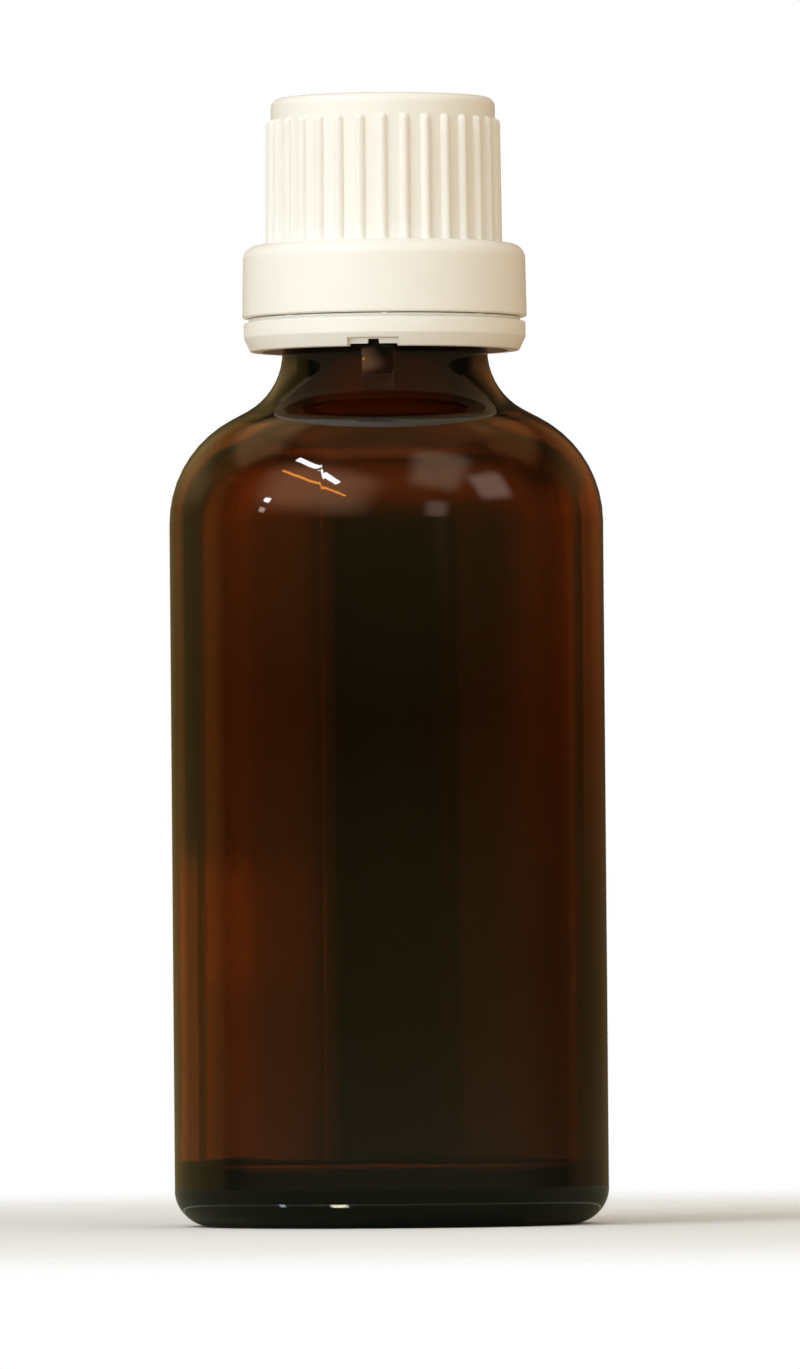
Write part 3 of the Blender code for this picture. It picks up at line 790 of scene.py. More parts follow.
@dataclass
class DropperInsert:
    """The pressed-in dropper: plug with sealing ribs, flange, nozzle, drip tube and vent socket."""

    glass: GlassBottle
    seat_gap: float = 0.3 * MM
    press_gap: float = 0.2 * MM
    plug_length: float = 9.0 * MM
    plug_wall: float = 0.9 * MM
    plug_lead_in: float = 0.6 * MM
    rib_height: float = 0.3 * MM
    rib_width: float = 0.9 * MM
    rib_count: int = 3
    flange_set_back: float = 0.25 * MM
    flange_thickness: float = 1.2 * MM
    flange_rounding: float = 0.3 * MM
    nozzle_height: float = 1.8 * MM
    nozzle_base_diameter: float = 3.8 * MM
    nozzle_tip_diameter: float = 2.8 * MM
    nozzle_rounding: float = 0.3 * MM
    channel_diameter: float = 1.2 * MM
    drip_tube_wall: float = 0.7 * MM
    drip_tube_length: float = 4.5 * MM
    tube_diameter: float = 2.2 * MM
    tube_bore: float = 1.2 * MM
    tube_length: float = 14.5 * MM
    tube_rounding: float = 0.1 * MM
    vent_hole_diameter: float = 1.0 * MM
    socket_wall: float = 0.6 * MM
    socket_length: float = 6.0 * MM
    edge_rounding: float = 0.1 * MM
    columns: int = 96
    small_columns: int = 48

    def __post_init__(self) -> None:
        """Works out the radii and heights that the tube and the cap share."""
        self.plug_r = self.glass.bore_r - self.press_gap - self.rib_height
        self.plug_inner_r = self.plug_r - self.plug_wall
        self.channel_r = self.channel_diameter / 2
        self.drip_r = self.channel_r + self.drip_tube_wall
        self.vent_offset = (self.drip_r + self.plug_inner_r) / 2
        self.flange_z = self.glass.rim_z + self.seat_gap
        self.flange_top_z = self.flange_z + self.flange_thickness
        self.nozzle_top_z = self.flange_top_z + self.nozzle_height

    def sealing_ribs(self) -> list[Corner]:
        """Corners of the sealing ribs, spread evenly down the plug.

        Returns:
            The corners, from the top down.
        """
        spacing = self.plug_length / (self.rib_count + 1)
        half = self.rib_width / 2
        corners = []
        for i in range(self.rib_count):
            middle = self.flange_z - spacing * (i + 1)
            corners += [
                Corner(self.plug_r, middle + half, self.edge_rounding),
                Corner(self.plug_r + self.rib_height, middle, self.edge_rounding),
                Corner(self.plug_r, middle - half, self.edge_rounding),
            ]
        return corners

    def outline(self) -> Array:
        """The insert's closed outline, with the drip channel through its middle.

        Returns:
            Rows of distance and height.
        """
        plug_z = self.flange_z - self.plug_length
        drip_z = self.flange_z - self.drip_tube_length
        flange_r = self.glass.core_r - self.flange_set_back
        edge = self.edge_rounding
        return rounded_outline([
            Corner(self.channel_r, self.nozzle_top_z, edge),
            Corner(self.nozzle_tip_diameter / 2, self.nozzle_top_z, self.nozzle_rounding),
            Corner(self.nozzle_base_diameter / 2, self.flange_top_z, self.nozzle_rounding),
            Corner(flange_r, self.flange_top_z, self.flange_rounding),
            Corner(flange_r, self.flange_z, edge),
            Corner(self.plug_r, self.flange_z, edge),
            *self.sealing_ribs(),
            Corner(self.plug_r, plug_z + self.plug_lead_in, edge),
            Corner(self.plug_r - self.plug_lead_in, plug_z, edge),
            Corner(self.plug_inner_r, plug_z, edge),
            Corner(self.plug_inner_r, self.flange_z),
            Corner(self.drip_r, self.flange_z),
            Corner(self.drip_r, drip_z, edge),
            Corner(self.channel_r, drip_z, edge),
        ], closed=True)

    def vent_rod(self, name: str, radius: float, low_z: float, high_z: float) -> bpy.types.Object:
        """An upright rod on the vent's axis, for a Boolean.

        Args:
            name: The rod's name.
            radius: Its radius.
            low_z: Its lower end.
            high_z: Its upper end.

        Returns:
            The rod.
        """
        outline = np.array([(0.0, high_z), (radius, high_z), (radius, low_z), (0.0, low_z)])
        mesh = Turned.from_outline(outline, even_angles(self.small_columns)).mesh(name)
        mesh.transform(Matrix.Translation((self.vent_offset, 0.0, 0.0)))
        return linked(mesh)

    def build(self) -> bpy.types.Object:
        """Builds the insert and cuts its vent.

        Returns:
            The piece.
        """
        turned = Turned.from_outline(self.outline(), even_angles(self.columns), True)
        item = linked(turned.mesh("dropper_plug"))
        bore_r = self.tube_diameter / 2 + self.press_gap
        socket_z = self.flange_z - self.socket_length
        middle_z = (self.flange_z + self.flange_top_z) / 2
        over = self.flange_thickness
        steps = [
            ("UNION", self.vent_rod("socket", bore_r + self.socket_wall, socket_z, middle_z)),
            ("DIFFERENCE", self.vent_rod("socket_bore", bore_r, socket_z - over, self.flange_z)),
            ("DIFFERENCE", self.vent_rod("vent_hole", self.vent_hole_diameter / 2,
                                         self.flange_z - over, self.flange_top_z + over)),
        ]
        combined(item, steps)
        return seated(item, Body.BOTTLE, "dropper_insert", CLEAR_INSERT)

    def build_tube(self) -> bpy.types.Object:
        """Builds the vent tube, pressed up into its socket.

        Returns:
            The piece.
        """
        top_z = self.flange_z - self.seat_gap
        low_z = top_z - self.tube_length
        outer, bore = self.tube_diameter / 2, self.tube_bore / 2
        outline = rounded_outline([Corner(r, z, self.tube_rounding) for r, z in
                                   ((outer, top_z), (outer, low_z), (bore, low_z), (bore, top_z))],
                                  closed=True)
        mesh = Turned.from_outline(outline, even_angles(self.small_columns), True).mesh("vent_pipe")
        mesh.transform(Matrix.Translation((self.vent_offset, 0.0, 0.0)))
        return seated(linked(mesh), Body.BOTTLE, "vent_tube", CLEAR_TUBE)


def combined(item: bpy.types.Object, steps: Sequence[tuple[str, bpy.types.Object]]) -> None:
    """Applies Booleans to a piece and removes their tools.

    Args:
        item: The piece that is changed.
        steps: Each Boolean operation with its tool.
    """
    for operation, tool in steps:
        step = item.modifiers.new(tool.name, "BOOLEAN")
        step.operation = operation
        step.solver = "EXACT"
        step.object = tool
    graph = bpy.context.evaluated_depsgraph_get()
    mesh = bpy.data.meshes.new_from_object(item.evaluated_get(graph))
    item.modifiers.clear()
    item.data = mesh
    for _, tool in steps:
        bpy.data.objects.remove(tool)
    welded(mesh)


@dataclass
class Closure:
    """Sizes that the screw cap and the tear-off ring share."""

    glass: GlassBottle
    insert: DropperInsert
    skirt_clearance: float = 0.4 * MM
    skirt_wall: float = 1.4 * MM
    groove_height: float = 0.4 * MM
    ring_bead_gap: float = 0.55 * MM
    running_gap: float = 0.25 * MM

    def __post_init__(self) -> None:
        """Works out the shared radii and heights."""
        self.bore_r = self.glass.core_r + self.glass.thread.height + self.running_gap
        self.skirt_inner_r = self.glass.bead_r + self.skirt_clearance
        self.skirt_r = self.skirt_inner_r + self.skirt_wall
        self.ring_top_z = self.glass.bead_z - self.ring_bead_gap
        self.skirt_z = self.ring_top_z + self.groove_height


@dataclass
class TamperRing:
    """The tear-off ring: snap bead, release notches with flaps and slit, and bridge stubs."""

    closure: Closure
    wall: float = 1.5 * MM
    chamfer_height: float = 1.15 * MM
    chamfer_depth: float = 0.55 * MM
    edge_rounding: float = 0.15 * MM
    chamfer_rounding: float = 0.5 * MM
    snap_thickness: float = 0.6 * MM
    snap_reach_share: float = 0.4
    notch_count: int = 2
    notch_angle: float = math.radians(-5)
    notch_width: float = 4.6 * MM
    notch_height: float = 0.68 * MM
    flap_thickness: float = 0.45 * MM
    flap_raise: float = 0.22 * MM
    slit_width: float = 1.1 * MM
    slit_height: float = 0.6 * MM
    bridge_count: int = 8
    bridge_width: float = 0.5 * MM
    bridge_height: float = 0.05 * MM
    collar_set_back: float = 0.45 * MM
    collar_height: float = 0.32 * MM
    columns: int = 192
    flank: float = 0.06 * MM
    flank_reach: float = 1.5
    flank_steps: int = 7

    def section(self, lower_outer_z: float, flap_z: float) -> Array:
        """One closed section, from the top edge down the outside. All have the same number of points.

        Args:
            lower_outer_z: The height of the lower edge in front of the flap.
            flap_z: The height of the lower edge at the flap.

        Returns:
            Rows of distance and height.
        """
        closure, edge = self.closure, self.edge_rounding
        base_z = closure.glass.neck_base_z
        outer_r, inner_r = closure.skirt_r, closure.skirt_r - self.wall
        neck_r, bead_r = closure.glass.neck_r, closure.glass.bead_r
        snap_r = neck_r + self.snap_reach_share * (bead_r - neck_r)
        slope_z = base_z + self.chamfer_height
        chamfer_share = (lower_outer_z - base_z) / self.chamfer_height
        foot_r = outer_r - self.chamfer_depth * (1 - min(chamfer_share, 1.0))
        snap_foot_z = closure.ring_top_z - self.snap_thickness - (inner_r - snap_r)
        collar_r, collar_z = outer_r - self.collar_set_back, closure.ring_top_z + self.collar_height
        return rounded_outline([
            Corner(outer_r, closure.ring_top_z, edge),
            Corner(outer_r, slope_z, self.chamfer_rounding),
            Corner(foot_r, lower_outer_z, edge),
            Corner(inner_r + self.flap_thickness, lower_outer_z),
            Corner(inner_r + self.flap_thickness, flap_z - STEEP),
            Corner(inner_r, flap_z - STEEP),
            Corner(inner_r, max(snap_foot_z, base_z + self.slit_height)),
            Corner(snap_r, closure.ring_top_z - self.snap_thickness, edge),
            Corner(snap_r, closure.ring_top_z, edge),
            Corner(inner_r, closure.ring_top_z),
            Corner(inner_r + edge, collar_z),
            Corner(collar_r, collar_z),
            Corner(collar_r + STEEP, closure.ring_top_z),
        ], closed=True, plain=True)

    def build(self) -> bpy.types.Object:
        """Builds the ring.

        Three outlines with the same number of points are worked out: the plain section, the
        section in front of a flap and the section at the slit. Each column is a blend of them.

        Returns:
            The piece.
        """
        base_z = self.closure.glass.neck_base_z
        notch_z, flap_z = base_z + self.notch_height, base_z + self.flap_raise
        sections = [self.section(z, flap) for z, flap in
                    ((base_z, base_z), (notch_z, flap_z), (notch_z, base_z + self.slit_height))]
        outer_r = self.closure.skirt_r
        angles = self.angles(outer_r)
        to_notch = nearest_copy(angles, self.notch_count, self.notch_angle) * outer_r
        in_notch = plateau(to_notch, self.notch_width / 2 - self.flank, self.flank)
        in_slit = plateau(to_notch, self.slit_width / 2 - self.flank, self.flank)
        plain, flap, slit = (np.repeat(s[:, None, :], len(angles), 1) for s in sections)
        blend = plain + (flap - plain) * in_notch[None, :, None]
        blend += (slit - flap) * in_slit[None, :, None]
        grid = np.outer(np.ones(len(plain)), angles)
        surface = Turned(blend[:, :, 0], grid, blend[:, :, 1], True)
        to_bridge = nearest_copy(angles, self.bridge_count, 0.0) * outer_r
        on_bridge = plateau(to_bridge, self.bridge_width / 2 - self.flank, self.flank)
        on_collar = surface.height > self.closure.ring_top_z + self.collar_height / 2
        surface.height += on_collar * (self.bridge_height * on_bridge)[None, :]
        item = linked(surface.mesh("tear_ring"))
        return seated(item, Body.RING, "tamper_ring", WHITE_RING)

    def angles(self, outer_r: float) -> Array:
        """The columns' angles, finer at the flanks of the notches, slits and bridges.

        Args:
            outer_r: The ring's outer radius.

        Returns:
            The angles.
        """
        notches, bridges = even_angles(self.notch_count), even_angles(self.bridge_count)
        places = []
        for width, middles in ((self.notch_width, self.notch_angle + notches),
                               (self.slit_width, self.notch_angle + notches),
                               (self.bridge_width, bridges)):
            side = (width / 2 - self.flank / 2) / outer_r
            places += [FRONT + middle + way for middle in middles for way in (-side, side)]
        steps = np.linspace(-self.flank_reach, self.flank_reach, self.flank_steps)
        return gathered_angles(self.columns, places, steps * self.flank / outer_r)


@dataclass
class ScrewCap:
    """The screw cap: ribbed grip, smooth band above, skirt below, thread and sealing ring inside."""

    closure: Closure
    wall: float = 0.75 * MM
    ceiling: float = 1.2 * MM
    headroom: float = 0.45 * MM
    top_rounding: float = 0.8 * MM
    inner_rounding: float = 0.5 * MM
    foot_rounding: float = 0.3 * MM
    draft: float = 0.1 * MM
    skirt_height: float = 6.2 * MM
    skirt_flare: float = 0.12 * MM
    skirt_top_rounding: float = 1.25 * MM
    skirt_foot_rounding: float = 0.2 * MM
    skirt_shoulder: float = 1.0 * MM
    thread_turns: float = 1.25
    thread_foot: float = 0.8 * MM
    rib_count: int = 32
    rib_width: float = 0.86 * MM
    rib_height: float = 0.43 * MM
    rib_angle: float = math.radians(-0.55)
    rib_end: float = 0.45 * MM
    rib_end_rows: int = 16
    smooth_band: float = 1.8 * MM
    seal_gap: float = 0.4 * MM
    seal_wall: float = 0.8 * MM
    seal_rounding: float = 0.15 * MM
    gate_radius: float = 1.6 * MM
    gate_depth: float = 0.18 * MM
    gate_nib: float = 0.4 * MM
    rib_columns: tuple[float, ...] = (-2.2, -1.0, -0.9, -0.7, -0.38, 0.0, 0.38, 0.7, 0.9, 1.0)
    grip_run: float = 0.9 * MM
    inner_run: float = 0.3 * MM

    def __post_init__(self) -> None:
        """Works out the cap's radii and heights."""
        closure = self.closure
        self.grip_r = closure.bore_r + self.wall
        self.skirt_top_z = closure.skirt_z + self.skirt_height
        self.ceiling_z = closure.insert.nozzle_top_z + self.headroom
        self.top_z = self.ceiling_z + self.ceiling
        self.rib_top_z = self.top_z - self.smooth_band
        self.bore_foot_z = self.skirt_top_z - self.skirt_shoulder

    def top_outline(self) -> Array:
        """The top's outline, from its middle with the moulding gate out to the edge.

        Returns:
            Rows of distance and height.
        """
        gate_z = self.top_z - self.gate_depth
        return rounded_outline([
            Corner(0.0, gate_z + self.gate_depth / 2),
            Corner(self.gate_nib, gate_z + self.gate_depth / 2, self.gate_depth / 3),
            Corner(self.gate_nib, gate_z, self.gate_depth / 3),
            Corner(self.gate_radius - self.gate_depth, gate_z, self.gate_depth / 2),
            Corner(self.gate_radius, self.top_z, self.gate_depth / 2),
            Corner(self.grip_r - self.draft, self.top_z, self.top_rounding),
            Corner(self.grip_r - self.draft, self.rib_top_z + self.rib_end),
        ])

    def grip_outline(self) -> Array:
        """The grip's outline down to the skirt's top, in runs that carry the ribs.

        Returns:
            Rows of distance and height.
        """
        top_r = self.grip_r - self.draft
        ends = np.linspace(self.rib_top_z + self.rib_end / 2, self.rib_top_z - 2 * self.rib_end,
                           self.rib_end_rows)
        foot = rounded_outline([
            Corner(top_r, ends[-1]),
            Corner(self.grip_r, self.skirt_top_z, self.foot_rounding),
            Corner(self.closure.skirt_r - self.skirt_top_rounding, self.skirt_top_z),
        ], run_step=self.grip_run)
        return np.concatenate((np.stack((np.full(len(ends), top_r), ends), -1), foot[1:]))

    def skirt_outline(self) -> Array:
        """The skirt's outline, over its top edge and down to its foot.

        Returns:
            Rows of distance and height.
        """
        closure = self.closure
        return rounded_outline([
            Corner(closure.skirt_r - self.skirt_top_rounding, self.skirt_top_z),
            Corner(closure.skirt_r, self.skirt_top_z, self.skirt_top_rounding),
            Corner(closure.skirt_r + self.skirt_flare, closure.skirt_z, self.skirt_foot_rounding),
            Corner(closure.skirt_inner_r, closure.skirt_z, self.seal_rounding),
            Corner(closure.skirt_inner_r, self.bore_foot_z - self.skirt_shoulder,
                   self.inner_rounding),
            Corner(closure.bore_r, self.bore_foot_z, self.seal_rounding),
            Corner(closure.bore_r, self.bore_foot_z + self.thread_foot / 2),
        ])

    def inner_outline(self) -> Array:
        """The inside's outline: up the threaded bore, the ceiling and the sealing ring.

        Returns:
            Rows of distance and height.
        """
        insert, closure = self.closure.insert, self.closure
        seal_inner_r = insert.vent_offset + insert.vent_hole_diameter / 2 + self.seal_gap
        seal_r = seal_inner_r + self.seal_wall
        seal_z = insert.flange_top_z + insert.seat_gap
        wall = rounded_outline([
            Corner(closure.bore_r, self.bore_foot_z + self.thread_foot / 2),
            Corner(closure.bore_r, self.ceiling_z - self.inner_rounding),
        ], run_step=self.inner_run)
        ceiling = rounded_outline([
            Corner(closure.bore_r, self.ceiling_z - 2 * self.inner_rounding),
            Corner(closure.bore_r, self.ceiling_z, self.inner_rounding),
            Corner(seal_r, self.ceiling_z, self.seal_rounding),
            Corner(seal_r, seal_z, self.seal_rounding),
            Corner(seal_inner_r, seal_z, self.seal_rounding),
            Corner(seal_inner_r, self.ceiling_z, self.seal_rounding),
            Corner(0.0, self.ceiling_z),
        ])
        return np.concatenate((wall, ceiling[1:]))

    def rib_relief(self, surface: Turned) -> Array:
        """How far the ribs stand off the grip.

        With u the distance across a rib over its half width and v the distance into its rounded
        top end over the end's length, the relief is height x (1 - u^2 - v^2)^0.6.

        Args:
            surface: The grip's surface.

        Returns:
            The relief at each point.
        """
        across = nearest_copy(surface.angle, self.rib_count, self.rib_angle) * self.grip_r
        u = np.abs(across) / (self.rib_width / 2)
        v = np.clip((surface.height - (self.rib_top_z - self.rib_end)) / self.rib_end, 0.0, None)
        return self.rib_height * np.clip(1.0 - u**2 - v**2, 0.0, None) ** 0.6

    def build(self) -> bpy.types.Object:
        """Builds the cap as one closed surface and raises its ribs and thread.

        The ribs sink into the rounding at the grip's foot, by the share of the way from the grip
        to the skirt's top edge.

        Returns:
            The piece.
        """
        top, grip, skirt, inside = (self.top_outline(), self.grip_outline(), self.skirt_outline(),
                                    self.inner_outline())
        outline = np.concatenate((top, grip, skirt[1:], inside[1:]))
        rib_angles = FRONT + self.rib_angle + even_angles(self.rib_count)
        offsets = np.array(self.rib_columns) * self.rib_width / 2 / self.grip_r
        angles = np.unique((rib_angles[:, None] + offsets[None, :]).ravel() % math.tau)
        surface = Turned.from_outline(outline, angles)
        row = np.arange(len(outline))[:, None]
        on_grip = (row >= len(top)) & (row < len(top) + len(grip))
        free = self.closure.skirt_r - self.skirt_top_rounding
        spread = np.clip((free - surface.radius) / (free - self.grip_r), 0.0, 1.0)
        surface.radius += on_grip * spread * self.rib_relief(surface)
        thread = self.closure.glass.thread
        start_z = self.closure.glass.thread_z - thread.pitch / 2
        first_turn = (self.bore_foot_z + self.thread_foot - start_z) / thread.pitch
        relief = thread.relief(surface.angle, surface.height, start_z, first_turn,
                               self.thread_turns)
        on_bore = row >= len(outline) - len(inside)
        at_wall = np.isclose(surface.radius, self.closure.bore_r, atol=STEEP)
        surface.radius -= on_bore * at_wall * relief
        item = linked(surface.mesh("ribbed_cap"))
        return seated(item, Body.CAP, "screw_cap", WHITE_CAP)


@dataclass(frozen=True)
class Softbox:
    """A lamp panel that spans two directions from the bottle, each as degrees round and up."""

    reach: Reach
    name: str
    start: tuple[float, float]
    end: tuple[float, float]
    across: float
    radiance: float
    color: Color
    soft_along: float = 0.3
    soft_across: float = 0.3
    distance: float = 1.0
    aim: tuple[float, float, float] = (0.0, 0.0, 0.06)

    def end_point(self, azimuth: float, elevation: float) -> Vector:
        """The point at the panel's distance in a direction.

        Args:
            azimuth: Degrees round to the right, from behind the camera.
            elevation: Degrees up.

        Returns:
            The point.
        """
        around, up = math.radians(azimuth), math.radians(elevation)
        out = Vector((math.sin(around) * math.cos(up), -math.cos(around) * math.cos(up),
                      math.sin(up)))
        return Vector(self.aim) + out * self.distance

    def soften(self, light: bpy.types.Light) -> None:
        """Lets a light's brightness fall off smoothly towards the panel's edges.

        Args:
            light: The panel's light.
        """
        light.use_nodes = True
        nodes = Nodes(light.node_tree)
        place = nodes.node("SeparateXYZ", nodes.node("NewGeometry").outputs["Parametric"])
        strength: Socket | float = 1.0
        for axis, soft in (("X", self.soft_along), ("Y", self.soft_across)):
            for near, far in ((0.0, soft), (1.0, 1.0 - soft)):
                edge = nodes.step(place.outputs[axis], near, far)
                strength = nodes.math("MULTIPLY", edge, strength)
        nodes.give(nodes.tree.nodes["Emission"].inputs["Strength"], strength)

    def build(self) -> None:
        """Hangs the panel between its two ends, facing the bottle."""
        first, last = self.end_point(*self.start), self.end_point(*self.end)
        middle, along = (first + last) / 2, (last - first).normalized()
        facing = middle - Vector(self.aim)
        facing = (facing - along * facing.dot(along)).normalized()
        light = bpy.data.lights.new(self.name, "AREA")
        light.shape = "RECTANGLE"
        light.size, light.size_y = (last - first).length, self.across
        light.energy = self.radiance * math.pi * light.size * light.size_y
        light.color = self.color
        self.soften(light)
        lamp = linked(light)
        turn = Matrix((along, facing.cross(along), facing)).transposed()
        lamp.matrix_world = Matrix.Translation(middle) @ turn.to_4x4()
        lamp.visible_glossy, lamp.visible_diffuse, lamp.visible_transmission = self.reach.value
        lamp.visible_camera = False


def panels(reach: Reach, *rows: tuple) -> tuple[Softbox, ...]:
    """Makes lamp panels of the same reach, each from a row of its other fields in order."""
    return tuple(Softbox(reach, *row) for row in rows)


# Panels in gloss stand for the room's windows, lamps and walls, those behind glass for its glow.
LAMPS = (
    *panels(
        Reach.PIECES,
        ("front_fill", (-68, 2), (12, 2), 0.5, 3.8, (0.50, 0.71, 0.90), 0.35, 0.35),
    ), *panels(
        Reach.ALL,
        ("ceiling_tube_far", (-70, 52), (-48, 47), 0.10, 34.0, (0.90, 0.95, 1.0), 0.03, 0.3, 1.4),
        ("ceiling_tube_near", (-46, 46), (-28, 33), 0.10, 34.0, (0.90, 0.95, 1.0), 0.03, 0.3, 1.4),
        ("low_window", (-70, 17), (-64.5, 15.5), 0.08, 30.0, (0.86, 0.86, 1.0)),
        ("low_window_echo", (-72, 10), (-67, 9), 0.07, 6.0, (1.0, 0.85, 0.8)),
        ("high_pane", (12, 50), (54, 36), 0.85, 1.2, (1.0, 0.8, 0.55)),
        ("low_pane", (18, 11), (35, 8), 0.3, 1.3, (1.0, 0.72, 0.6), 0.4, 0.4),
    ), *panels(
        Reach.GLASS,
        ("amber_echo", (-71, 41), (-22, 21), 0.05, 15.0, (1.0, 0.33, 0.02), 0.03, 0.3, 1.4),
        ("ceiling_glow", (-84, 26), (0, 18), 0.75, 1.8, (1.0, 0.55, 0.3), 0.35, 0.35),
        ("side_pane", (48, 26), (76, 27), 0.5, 1.8, (1.0, 0.8, 0.68)),
        ("left_wall", (-94, 0), (-176, 0), 1.2, 0.17, (1.0, 0.68, 0.18), 0.15, 0.1),
        ("left_high_wall", (-112, 16), (-168, 16), 0.46, 0.32, (1.0, 0.62, 0.28), 0.2, 0.5),
        ("left_upper_wall", (-92, 42), (-168, 42), 0.5, 0.8, (1.0, 0.58, 0.25), 0.2),
        ("right_upper_wall", (92, 42), (168, 42), 0.5, 0.5, (1.0, 0.42, 0.12), 0.2),
        ("right_wall", (104, 0), (172, 0), 1.2, 0.10, (1.0, 0.45, 0.12), 0.2, 0.1),
        ("right_high_wall", (112, 16), (168, 16), 0.46, 0.28, (1.0, 0.36, 0.1), 0.2, 0.5),
        ("ceiling", (-90, 55), (90, 55), 1.1, 0.6, (1.0, 0.34, 0.11), 0.2, 0.2),
    ), *panels(
        Reach.BEHIND_GLASS,
        ("left_side_glow", (-170, 3), (-150, 3), 0.30, 10.0, (1.0, 0.35, 0.12), 0.3, 0.25),
        ("left_low_side_glow", (-168, -5.1), (-148, -5.1), 0.142, 9.0, AMBER_LIGHT, 0.3, 0.05),
        ("right_side_glow", (166, 5), (146, 5), 0.26, 16.0, AMBER_LIGHT, 0.3, 0.4),
        ("left_glow", (-178.5, 2), (-157, 2), 0.50, 8.5, AMBER_LIGHT, 0.25, 0.2),
        ("left_high_glow", (-178.5, 6), (-157, 6), 0.20, 12.0, AMBER_LIGHT, 0.25, 0.22),
        ("left_low_glow", (-178.5, -5.1), (-153, -5.1), 0.142, 5.5, AMBER_LIGHT, 0.3, 0.05),
        ("left_bar_glow", (-178.5, -1.8), (-154, -1.8), 0.027, 9.0, AMBER_LIGHT),
        ("left_edge_glow", (-164, -5.1), (-132, -5.1), 0.142, 14.0, AMBER_LIGHT, 0.1, 0.05),
        ("left_flank_glow", (-178.5, 22), (-150, 22), 0.50, 20.0, (1.0, 0.42, 0.16), 0.25, 0.25),
        ("right_glow", (176, 5), (154, 5), 0.26, 14.0, AMBER_LIGHT, 0.3, 0.4),
        ("right_low_glow", (177, -4), (160, -4), 0.20, 2.5, AMBER_LIGHT),
        ("right_edge_glow", (168, 5.4), (134, 5.4), 0.29, 18.0, AMBER_LIGHT, 0.15, 0.4),
        ("right_flank_glow", (178.5, 22), (150, 22), 0.50, 14.0, AMBER_LIGHT, 0.25, 0.25),
        ("shoulder_glow", (168, 8), (-168, 8), 0.24, 14.0, AMBER_LIGHT, 0.3, 0.4),
        *((f"round_glow_{start}", (start, -6), (end, -6), 0.7, 10.0, AMBER_LIGHT, 0.02, 0.25)
          for start, end in ((-125, -77), (-77, -29), (40, 82), (82, 125))),
    ), *panels(
        Reach.GLOSS,
        ("foot_glint", (-18, 0), (-11.7, 0), 0.0009, 18.0, (1.0, 0.95, 0.72), 0.3, 0.3, 0.01904,
         (0.0, 0.0, 0.00103)),
        ("foot_glint_blue", (-33.5, 0), (-31, 0), 0.0008, 7.0, (0.7, 0.8, 1.0), 0.3, 0.3, 0.01904,
         (0.0, 0.0, 0.0011)),
    ),
)


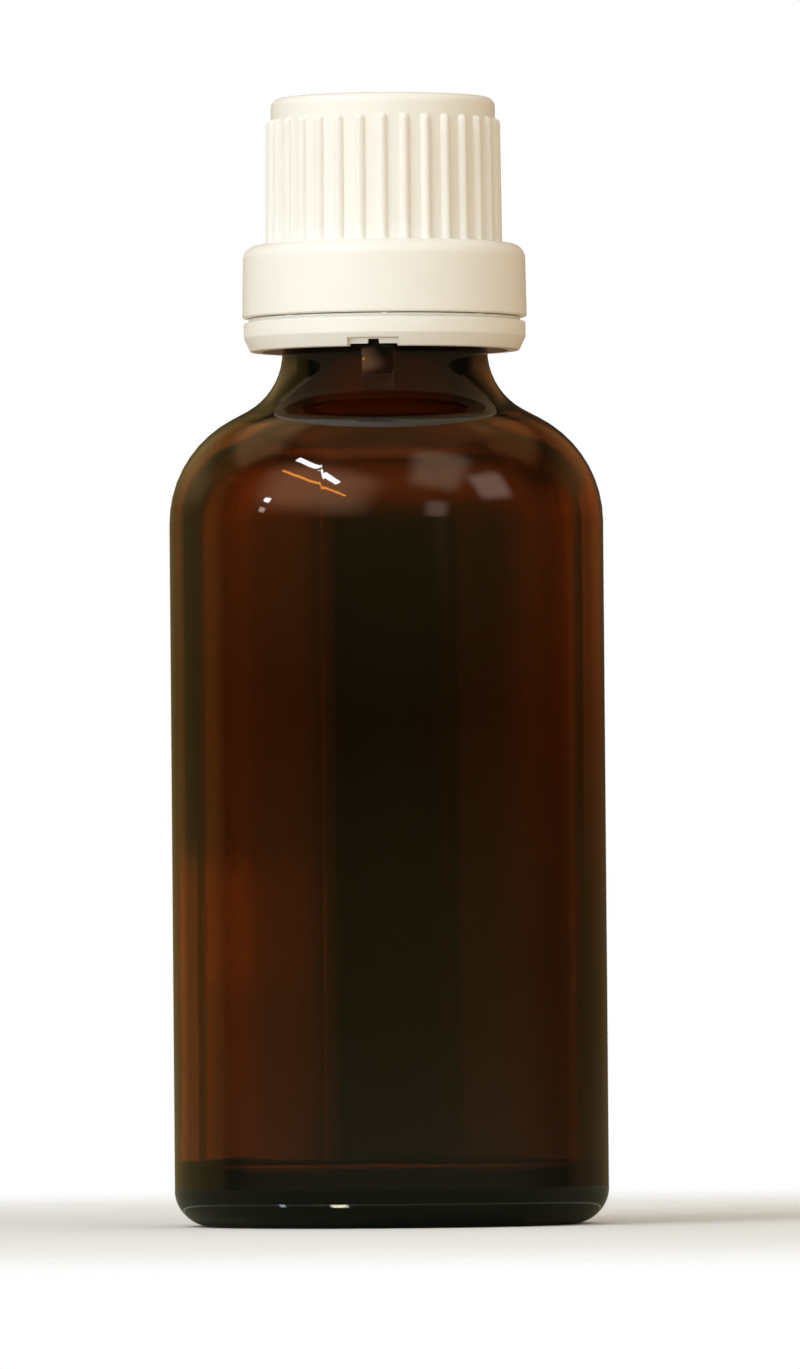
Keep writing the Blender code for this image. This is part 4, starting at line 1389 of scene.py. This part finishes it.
@dataclass
class Studio:
    """Camera, pale floor, white surroundings and lamps."""

    camera_distance: float = 1.2
    eye_height: float = 22.0 * MM
    aim_x: float = 1.05 * MM
    aim_z: float = 45.97 * MM
    lean: float = math.radians(0.49)
    lens: float = 370.8
    sensor: float = 36.0
    floor_radius: float = 0.2
    floor_fade: float = 0.07
    floor_rings: int = 9
    floor_columns: int = 96
    floor_color: Color = (0.87, 0.87, 0.87)
    shaded_floor: Color = (0.62, 0.44, 0.25)
    mirrored_floor: Color = (0.23, 0.23, 0.16)
    foot_gleam: Color = (0.8, 0.9, 0.75)
    foot_gleam_radius: float = 20.35 * MM
    foot_gleam_width: float = 0.9 * MM
    backdrop_half_angle: float = math.radians(9)
    room_light: tuple[tuple[float, Color], ...] = (
        (-0.35, (0.73, 0.52, 0.27)), (0.35, (0.62, 0.59, 0.51)),
    )
    mirrored_room: tuple[tuple[float, Color], ...] = (
        (-0.016, (0.25, 0.24, 0.15)), (-0.005, (0.17, 0.15, 0.07)), (0.006, (0.12, 0.105, 0.05)),
        (0.0175, (0.045, 0.03, 0.015)), (0.03, (0.12, 0.11, 0.05)), (0.08, (0.10, 0.09, 0.05)),
    )
    mirrored_side_share: float = 0.3
    side_limits: tuple[float, float] = (-0.6, 0.4)

    def place_camera(self) -> None:
        """Sets the camera low in front, aimed at the picture's middle and rolled by the lean."""
        data = bpy.data.cameras.new("camera")
        data.lens = self.lens
        data.sensor_width = self.sensor
        camera = linked(data)
        eye = Vector((self.aim_x, -self.camera_distance, self.eye_height))
        back = eye - Vector((self.aim_x, 0.0, self.aim_z))
        turn = back.to_track_quat("Z", "Y").to_matrix() @ Matrix.Rotation(-self.lean, 3, "Z")
        camera.matrix_world = Matrix.Translation(eye) @ turn.to_4x4()
        bpy.context.scene.camera = camera

    def lay_floor(self) -> None:
        """Lays a pale round floor that fades into the white surroundings at its rim."""
        radii = np.linspace(0.0, 1.0, self.floor_rings) * self.floor_radius
        outline = np.stack((radii, np.zeros(len(radii))), -1)
        mesh = Turned.from_outline(outline, even_angles(self.floor_columns)).mesh("floor")
        if mesh.polygons[0].normal.z < 0:
            mesh.flip_normals()
        mesh.materials.append(self.floor_material())
        floor = linked(mesh)

    def floor_material(self) -> bpy.types.Material:
        """A diffuse white that shows its shadows, turning clear towards the rim.

        The pieces get its light in a warmer colour, and gloss sees it dim, as a shaded table,
        with a pale gleam in a narrow circle round the bottle's foot.

        Returns:
            The material.
        """
        material = bpy.data.materials.new("floor")
        material.use_nodes = True
        nodes = Nodes(material.node_tree)
        nodes.tree.nodes.remove(nodes.tree.nodes["Principled BSDF"])
        path, place = nodes.node("LightPath").outputs, nodes.node("TexCoord").outputs["Object"]
        away = nodes.node("VectorMath", place, operation="LENGTH").outputs["Value"]
        off_gleam = nodes.math("ABSOLUTE", nodes.math("SUBTRACT", away, self.foot_gleam_radius))
        gleam_fade = nodes.node("MapRange", off_gleam, 0.0, self.foot_gleam_width / 2)
        mirrored = nodes.mix(gleam_fade.outputs["Result"], self.foot_gleam, self.mirrored_floor)
        plain = nodes.mix(path["Is Diffuse Ray"], self.floor_color, self.shaded_floor)
        color = nodes.mix(path["Is Glossy Ray"], plain, mirrored)
        mixed = nodes.node("MixShader", nodes.step(away, self.floor_fade, self.floor_radius),
                           nodes.node("BsdfDiffuse", color).outputs["BSDF"],
                           nodes.node("BsdfTransparent").outputs["BSDF"])
        nodes.give(nodes.tree.nodes["Material Output"].inputs["Surface"], mixed.outputs["Shader"])
        return material

    def fill_surroundings(self) -> None:
        """Makes the surroundings white where they are seen, straight or through glass.

        Gloss sees the same white within the backdrop behind the bottle and a dim room elsewhere,
        and the room's soft light falls on the pieces from all round.
        """
        world = bpy.data.worlds.new("surroundings")
        bpy.context.scene.world = world
        world.use_nodes = True
        nodes = Nodes(world.node_tree)
        path = nodes.node("LightPath").outputs
        way = nodes.node("SeparateXYZ", nodes.node("TexCoord").outputs["Generated"]).outputs
        behind = nodes.math("GREATER_THAN", way["Y"], math.cos(self.backdrop_half_angle))
        mirrored = nodes.math("MULTIPLY", path["Is Glossy Ray"], behind)
        seen = nodes.math("MAXIMUM", path["Is Camera Ray"], path["Is Transmission Ray"])
        seen = nodes.math("MAXIMUM", seen, mirrored)
        side = nodes.step(way["Y"], *self.side_limits, 1.0, self.mirrored_side_share)
        mirror = self.by_height(nodes, way["Z"], self.mirrored_room)
        dimmed = nodes.node("VectorMath", mirror, operation="SCALE", Scale=side).outputs["Vector"]
        light = self.by_height(nodes, way["Z"], self.room_light)
        room = nodes.mix(path["Is Glossy Ray"], light, dimmed)
        nodes.give(nodes.tree.nodes["Background"].inputs["Color"], nodes.mix(seen, room, WHITE))

    def by_height(self, nodes: Nodes, height: Socket,
                  stops: Sequence[tuple[float, Color]]) -> Socket:
        """Blends colours by how far up a direction points.

        Args:
            nodes: The world's nodes.
            height: The direction's Z, from -1 to 1.
            stops: Heights with their colours, in rising order.

        Returns:
            The colour's socket.
        """
        low, high = stops[0][0], stops[-1][0]
        share = nodes.node("MapRange", height, low, high).outputs["Result"]
        return nodes.ramp(share, [((stop - low) / (high - low), color) for stop, color in stops])

    def build(self) -> None:
        """Sets up the whole studio."""
        self.place_camera()
        self.lay_floor()
        self.fill_surroundings()
        for softbox in LAMPS:
            softbox.build()
        bpy.context.scene.view_settings.view_transform = "Standard"


def main() -> None:
    """Builds the studio, then each sub-assembly from the glass outwards."""
    logging.basicConfig(level=logging.INFO, format="%(name)s %(message)s")
    Studio().build()
    glass = GlassBottle()
    insert = DropperInsert(glass)
    closure = Closure(glass, insert)
    pieces: list[Callable[[], bpy.types.Object]] = [
        glass.build, insert.build, insert.build_tube,
        TamperRing(closure).build, ScrewCap(closure).build,
    ]
    for build in pieces:
        LOG.info("built %s", build().name)


if __name__ == "__main__":
    main()
